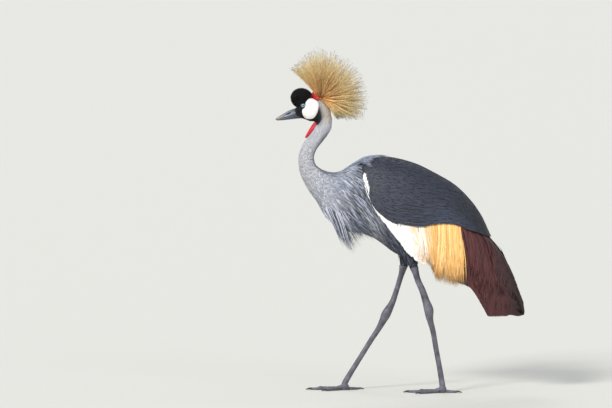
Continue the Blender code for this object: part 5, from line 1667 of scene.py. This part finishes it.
def crest_finish():
    """Straw that runs from orange at the root to pale gold, with dark tips."""
    made, tree, shader = new_finish("straw", 0.5, Sheen_Weight=0.1)
    along, chance = attribute(tree, "along"), attribute(tree, "chance")
    grain = noise(tree, vector(tree, along, chance), 60.0, 2.0)
    share = scaled(tree, maths(tree, "SUBTRACT", grain, 0.5), 0.30, along)
    colour = ramp(tree, share, ((0.0, CREST_BASE), (0.34, CREST_MID), (0.78, CREST_OUT),
                                (0.93, CREST_OUT * 0.8), (1.0, CREST_TIP)))
    paint(tree, shader, colour, scaled(tree, chance, 0.8, 0.60))
    return made


# %% Crest quills
STRAW = crest_finish()
chance = np.random.default_rng(161)
n = np.arange(CREST_BRISTLES)
share = (n + 0.5) / CREST_BRISTLES
polar = np.arccos(1 - (1 - math.cos(CREST_SPREAD)) * share)
turn = GOLDEN_TURN * n
fore = CREST_SPREAD * np.sin(math.pi / 2 * polar * np.cos(turn) / CREST_SPREAD)
aside = polar * CREST_FLATTEN * np.sin(turn)
local = np.stack((np.sin(fore) * np.cos(aside), np.sin(aside), np.cos(fore) * np.cos(aside)), -1)
way = np.stack((local[:, 0] * math.cos(CREST_LEAN) + local[:, 2] * math.sin(CREST_LEAN),
                local[:, 1],
                local[:, 2] * math.cos(CREST_LEAN) - local[:, 0] * math.sin(CREST_LEAN)), -1)
reach = CREST_REACH * (1 - 0.08 * way[:, 0]) * (1 - 0.36 * chance.beta(0.9, 2.8, len(n)))
reach *= (1 - 0.46 * ease(1.1, 1.6, fore)) * (1 - 0.22 * ease(0.9, 1.6, -fore))
root = (np.array(CREST_ROOT) + way * np.array(CREST_MOUND) * 0.7
        + chance.normal(0, 0.0018, (len(n), 3)))
bend = chance.normal(0, 0.09, (len(n), 3))
bend += 0.066 * fore[:, None] ** 3 * np.stack((-way[:, 2], 0 * fore, way[:, 0]), -1)
t = np.linspace(0, 1, 7)[None, :, None]
wave = 0.0019 * np.sin(t * chance.uniform(9, 15, (len(n), 1, 1))
                       + chance.uniform(0, 6, (len(n), 1, 1)))
across_way = unit(np.cross(way, (0.3, 1.0, 0.2)))[:, None]
path = (root[:, None] + way[:, None] * (reach[:, None, None] * t)
        + bend[:, None] * (reach[:, None, None] * t * (1 - t)) + across_way * wave * t)
up = np.repeat(across_way, 7, 1)
crest_map = 0.5 + 0.42 * np.stack((np.sin(fore), np.sin(aside)), -1)
plain = one_colour(CREST_MID, len(n))
quills = blades("crest_quills", "bristle", path, up, 0.0016, 0.0013, plain, crest_map, 162)
keep(quills, STRAW, "crest", "crest")
print("crest quills:", len(n))

# %% Crest barbs and mound
stem = np.linspace(0.26, 0.985, BARBS)
paths, ups, maps, stems = [], [], [], []
for s in stem:
    start = smooth_path(path, np.array([s]))[:, 0]
    along = unit(smooth_path(path, np.array([min(1, s + WAY_STEP)]))[:, 0]
                 - smooth_path(path, np.array([s - WAY_STEP]))[:, 0])
    spin = chance.uniform(0, 2 * math.pi, len(n))[:, None]
    first = unit(np.cross(along, (0.2, 1.0, 0.1)))
    out = first * np.cos(spin) + np.cross(along, first) * np.sin(spin)
    long = chance.uniform(0.0036, 0.0080, len(n))[:, None] * (1.15 - 0.5 * s)
    end = start + (along * 0.76 + out * 0.65) * long
    paths.append(np.stack((start, (start + end) / 2 + out * 0.0003, end), 1))
    ups.append(np.repeat(np.cross(along, out)[:, None], 3, 1))
    maps.append(crest_map)
    stems.append(np.full(len(n), s))
path, up = np.concatenate(paths), np.concatenate(ups)
barbs = blades("crest_barbs", "spike", path, up, 0.00085, 0.0006,
               one_colour(CREST_OUT, len(path)), np.concatenate(maps), 163)
values = np.concatenate(stems)
corners = len(PATTERNS["spike"]["number"])
barbs.data.attributes["along"].data.foreach_set(
    "value", np.repeat(values, corners).astype(np.float32))
keep(barbs, STRAW, "crest", "crest")

mound = ball_piece("crest_mound", 48, 24)
move_points(mound, points_of(mound) * np.array(CREST_MOUND) * 0.6 + np.array(CREST_ROOT))
store(mound.data, {"plumage": one_colour(CREST_BASE, len(mound.data.vertices))})
keep(mound, DEEP_SHADED_DOWN, "crest", "crest")
print("crest barbs:", len(values))

# %% [markdown]
# ## Legs and feet
# A crane's leg is bare below the feathered thigh. It is one tube from the shank to the toes,
# thick at the joint. Broad plates run down its front, parted by fine grooves, and small scales
# cover its back. The toes have pads under them and plates on top, and short blunt claws.

# %% Leg and claw finishes
def leg_finish():
    """Small scales with dark grooves, under a cloudy change from dark to pale grey."""
    made, tree, shader = new_finish("leg_scales", 0.55, Coat_Weight=0.08, Coat_Roughness=0.4)
    where = in_space(tree)
    squeezed = node(tree, "ShaderNodeMapping", {"Vector": where, "Scale": (1, 1, 0.7)}).outputs[0]
    cells = node(tree, "ShaderNodeTexVoronoi", {"Vector": squeezed, "Scale": 560.0},
                 feature="DISTANCE_TO_EDGE").outputs[0]
    scale = maths(tree, "MULTIPLY", cells, 4.0, clamp=True)
    cloud = noise(tree, where, 55.0, 4.0)
    mix = scaled(tree, cloud, 0.85, maths(tree, "MULTIPLY", scale, 0.22))
    paint(tree, shader, ramp(tree, mix, ((0.2, srgb(40, 39, 46)), (0.5, srgb(84, 82, 93)),
                                         (0.85, srgb(128, 125, 138)))))
    add_bump(tree, shader, scale, 0.5, 0.0004)
    return made


def claw_finish():
    """Dark horn with fine streaks."""
    made, tree, shader = new_finish("claw_horn", 0.35, Coat_Weight=0.3, Coat_Roughness=0.2)
    streak = noise(tree, in_space(tree), 900.0, 3.0)
    paint(tree, shader, ramp(tree, streak, ((0.3, srgb(20, 20, 24)), (0.75, srgb(66, 62, 66)))))
    add_bump(tree, shader, streak, 0.3, 0.0003)
    return made


LEG_SCALES, CLAW_HORN = leg_finish(), claw_finish()

# %% Legs
# (X, Z, half depth, half width), from the thigh down to the foot.
LEFT_LEG = (
    (0.0330, 0.4000, 0.0330, 0.0230), (0.0345, 0.3750, 0.0260, 0.0200),
    (0.0370, 0.3520, 0.0150, 0.0140), (0.0440, 0.3280, 0.0095, 0.0090),
    (0.0511, 0.3046, 0.0083, 0.0078), (0.0631, 0.2774, 0.0090, 0.0082),
    (0.0721, 0.2502, 0.0102, 0.0092), (0.0800, 0.2260, 0.0128, 0.0110),
    (0.0822, 0.2060, 0.0104, 0.0094), (0.0857, 0.1900, 0.0082, 0.0070),
    (0.0925, 0.1640, 0.0074, 0.0062), (0.1000, 0.1200, 0.0072, 0.0060),
    (0.1075, 0.0800, 0.0072, 0.0060), (0.1135, 0.0460, 0.0076, 0.0066),
    (0.1175, 0.0180, 0.0082, 0.0078), (0.1180, 0.0060, 0.0080, 0.0078),
)
RIGHT_LEG = (
    (0.0240, 0.4000, 0.0330, 0.0230), (0.0210, 0.3760, 0.0270, 0.0205),
    (0.0160, 0.3520, 0.0155, 0.0140), (0.0100, 0.3250, 0.0090, 0.0086),
    (0.0035, 0.3030, 0.0074, 0.0074), (-0.0060, 0.2720, 0.0074, 0.0074),
    (-0.0170, 0.2400, 0.0086, 0.0082), (-0.0340, 0.2080, 0.0126, 0.0110),
    (-0.0425, 0.1905, 0.0102, 0.0092), (-0.0545, 0.1680, 0.0080, 0.0070),
    (-0.0735, 0.1390, 0.0072, 0.0062), (-0.0940, 0.1060, 0.0070, 0.0060),
    (-0.1150, 0.0720, 0.0070, 0.0060), (-0.1330, 0.0430, 0.0075, 0.0066),
    (-0.1470, 0.0180, 0.0082, 0.0078), (-0.1485, 0.0060, 0.0080, 0.0078),
)
LEG_Y = 0.040
LEG_START, LEG_END = 2.4 / 15, 0.985
PLATE_PITCH, PLATE_GROOVE, PLATE_DEEP = 0.0058, 0.14, 0.0006
HUB_RADIUS = 0.0115


def leg_plates(rows):
    """The grooves between the plates of the leg's front, and small folds at the joint."""
    shares = np.linspace(0, 1, 200)
    line = spline(rows, shares)[:, :2]
    run = np.append(0, np.cumsum(np.linalg.norm(np.diff(line, axis=0), axis=1)))

    def swell(angle, s):
        at = np.interp(s, shares, run)
        front = ease(0.0, 0.7, -np.cos(angle))
        part = np.mod(at / PLATE_PITCH, 1) - 0.5
        groove = np.exp(-(part / PLATE_GROOVE) ** 2)
        shank = ease(0.28, 0.34, s)
        small = 0.00012 * np.sin(at * 2100) * np.sin(7 * angle) * (1 - front)
        return -PLATE_DEEP * groove * front * shank + small

    return swell


for side, word, rows in ((-1, "left", LEFT_LEG), (1, "right", RIGHT_LEG)):
    plates = leg_plates(rows)
    leg = grid_piece(
        f"leg_{word}", 37, 400,
        lambda u, v: path_tube(rows, u, v, LEG_START, LEG_END, LEG_Y * side, swell=plates,
                               blunt=300),
    )
    keep(leg, LEG_SCALES, "legs", f"tibia_{word}", f"tarsus_{word}")
print("legs: plates every", PLATE_PITCH * 1000, "mm")

# %% Feet
# Turn from straight ahead in degrees, length and radius.
TOES = ((0, 0.092, 0.0056), (32, 0.074, 0.0050), (-36, 0.064, 0.0050), (168, 0.040, 0.0046))
TOE_PLATE, TOE_GROOVE = 0.0034, 0.00030
CLAW_LENGTH, CLAW_SHARE = 0.015, 0.56


def toe(base, way, length, radius):
    across = np.array((-way[1], way[0], 0))

    def place(u, v):
        angle = 2 * math.pi * u
        centre = base + way * (length * v)[:, None]
        centre[:, 2] = 0.0044 * (1 - 0.35 * v) + 0.0060 * (1 - ease(0, 0.30, v))
        pads = 1 + 0.10 * np.cos(2 * math.pi * 3 * v) ** 2
        close = np.sqrt(np.clip(1 - np.abs(2 * v - 1) ** 24, 0, 1))
        part = np.mod(length * v / TOE_PLATE, 1) - 0.5
        groove = TOE_GROOVE * np.exp(-(part / 0.16) ** 2) * ease(0.1, 0.6, np.sin(angle))
        r = (radius * (1 - 0.38 * v) * pads - groove) * close
        point = centre + across * (r * np.cos(angle))[:, None]
        point[:, 2] = np.maximum(centre[:, 2] + r * np.sin(angle), 0.0)
        return point

    return grid_piece("toe", 25, max(30, int(length * 1100)), place)


def claw(base, way, length, radius):
    across = np.array((-way[1], way[0], 0))

    def place(u, v):
        angle = 2 * math.pi * u
        centre = base + way * (length - 0.0025 + (CLAW_LENGTH + 0.0025) * v)[:, None]
        centre[:, 2] = 0.0034 + 0.0012 * np.sin(math.pi * v) - 0.0021 * v
        r = radius * CLAW_SHARE * np.sqrt(np.clip(1 - v ** 1.6, 0, 1)) * np.minimum(1, v * 40)
        point = centre + across * (r * 0.85 * np.cos(angle))[:, None]
        point[:, 2] = np.maximum(centre[:, 2] + r * np.sin(angle), 0.0002)
        return point

    return grid_piece("claw", 25, 26, place)


for side, word, rows in ((-1, "left", LEFT_LEG), (1, "right", RIGHT_LEG)):
    base = np.array((rows[-2][0], LEG_Y * side, 0.0))

    def hub(u, v):
        angle = 2 * math.pi * u
        radius = HUB_RADIUS * np.sin(math.pi * v) ** 0.6
        high = np.maximum(0.0075 - 0.0105 * np.cos(math.pi * v), 0.0)
        return base + np.stack((radius * np.cos(angle), radius * np.sin(angle), high), -1)

    toes, claws = [grid_piece("hub", 49, 30, hub)], []
    for turn, length, radius in TOES:
        heading = math.radians(180 - turn * side)
        way = np.array((math.cos(heading), math.sin(heading), 0))
        toes.append(toe(base, way, length, radius))
        claws.append(claw(base, way, length, radius))
    keep(joined(f"toes_{word}", toes), LEG_SCALES, "legs", f"foot_{word}")
    keep(joined(f"claws_{word}", claws), CLAW_HORN, "claws",
         *(f"claw_{word}_{n}" for n in (1, 2, 3, 4)))
print("feet: four toes each, the front one", TOES[0][1] * 1000, "mm long")
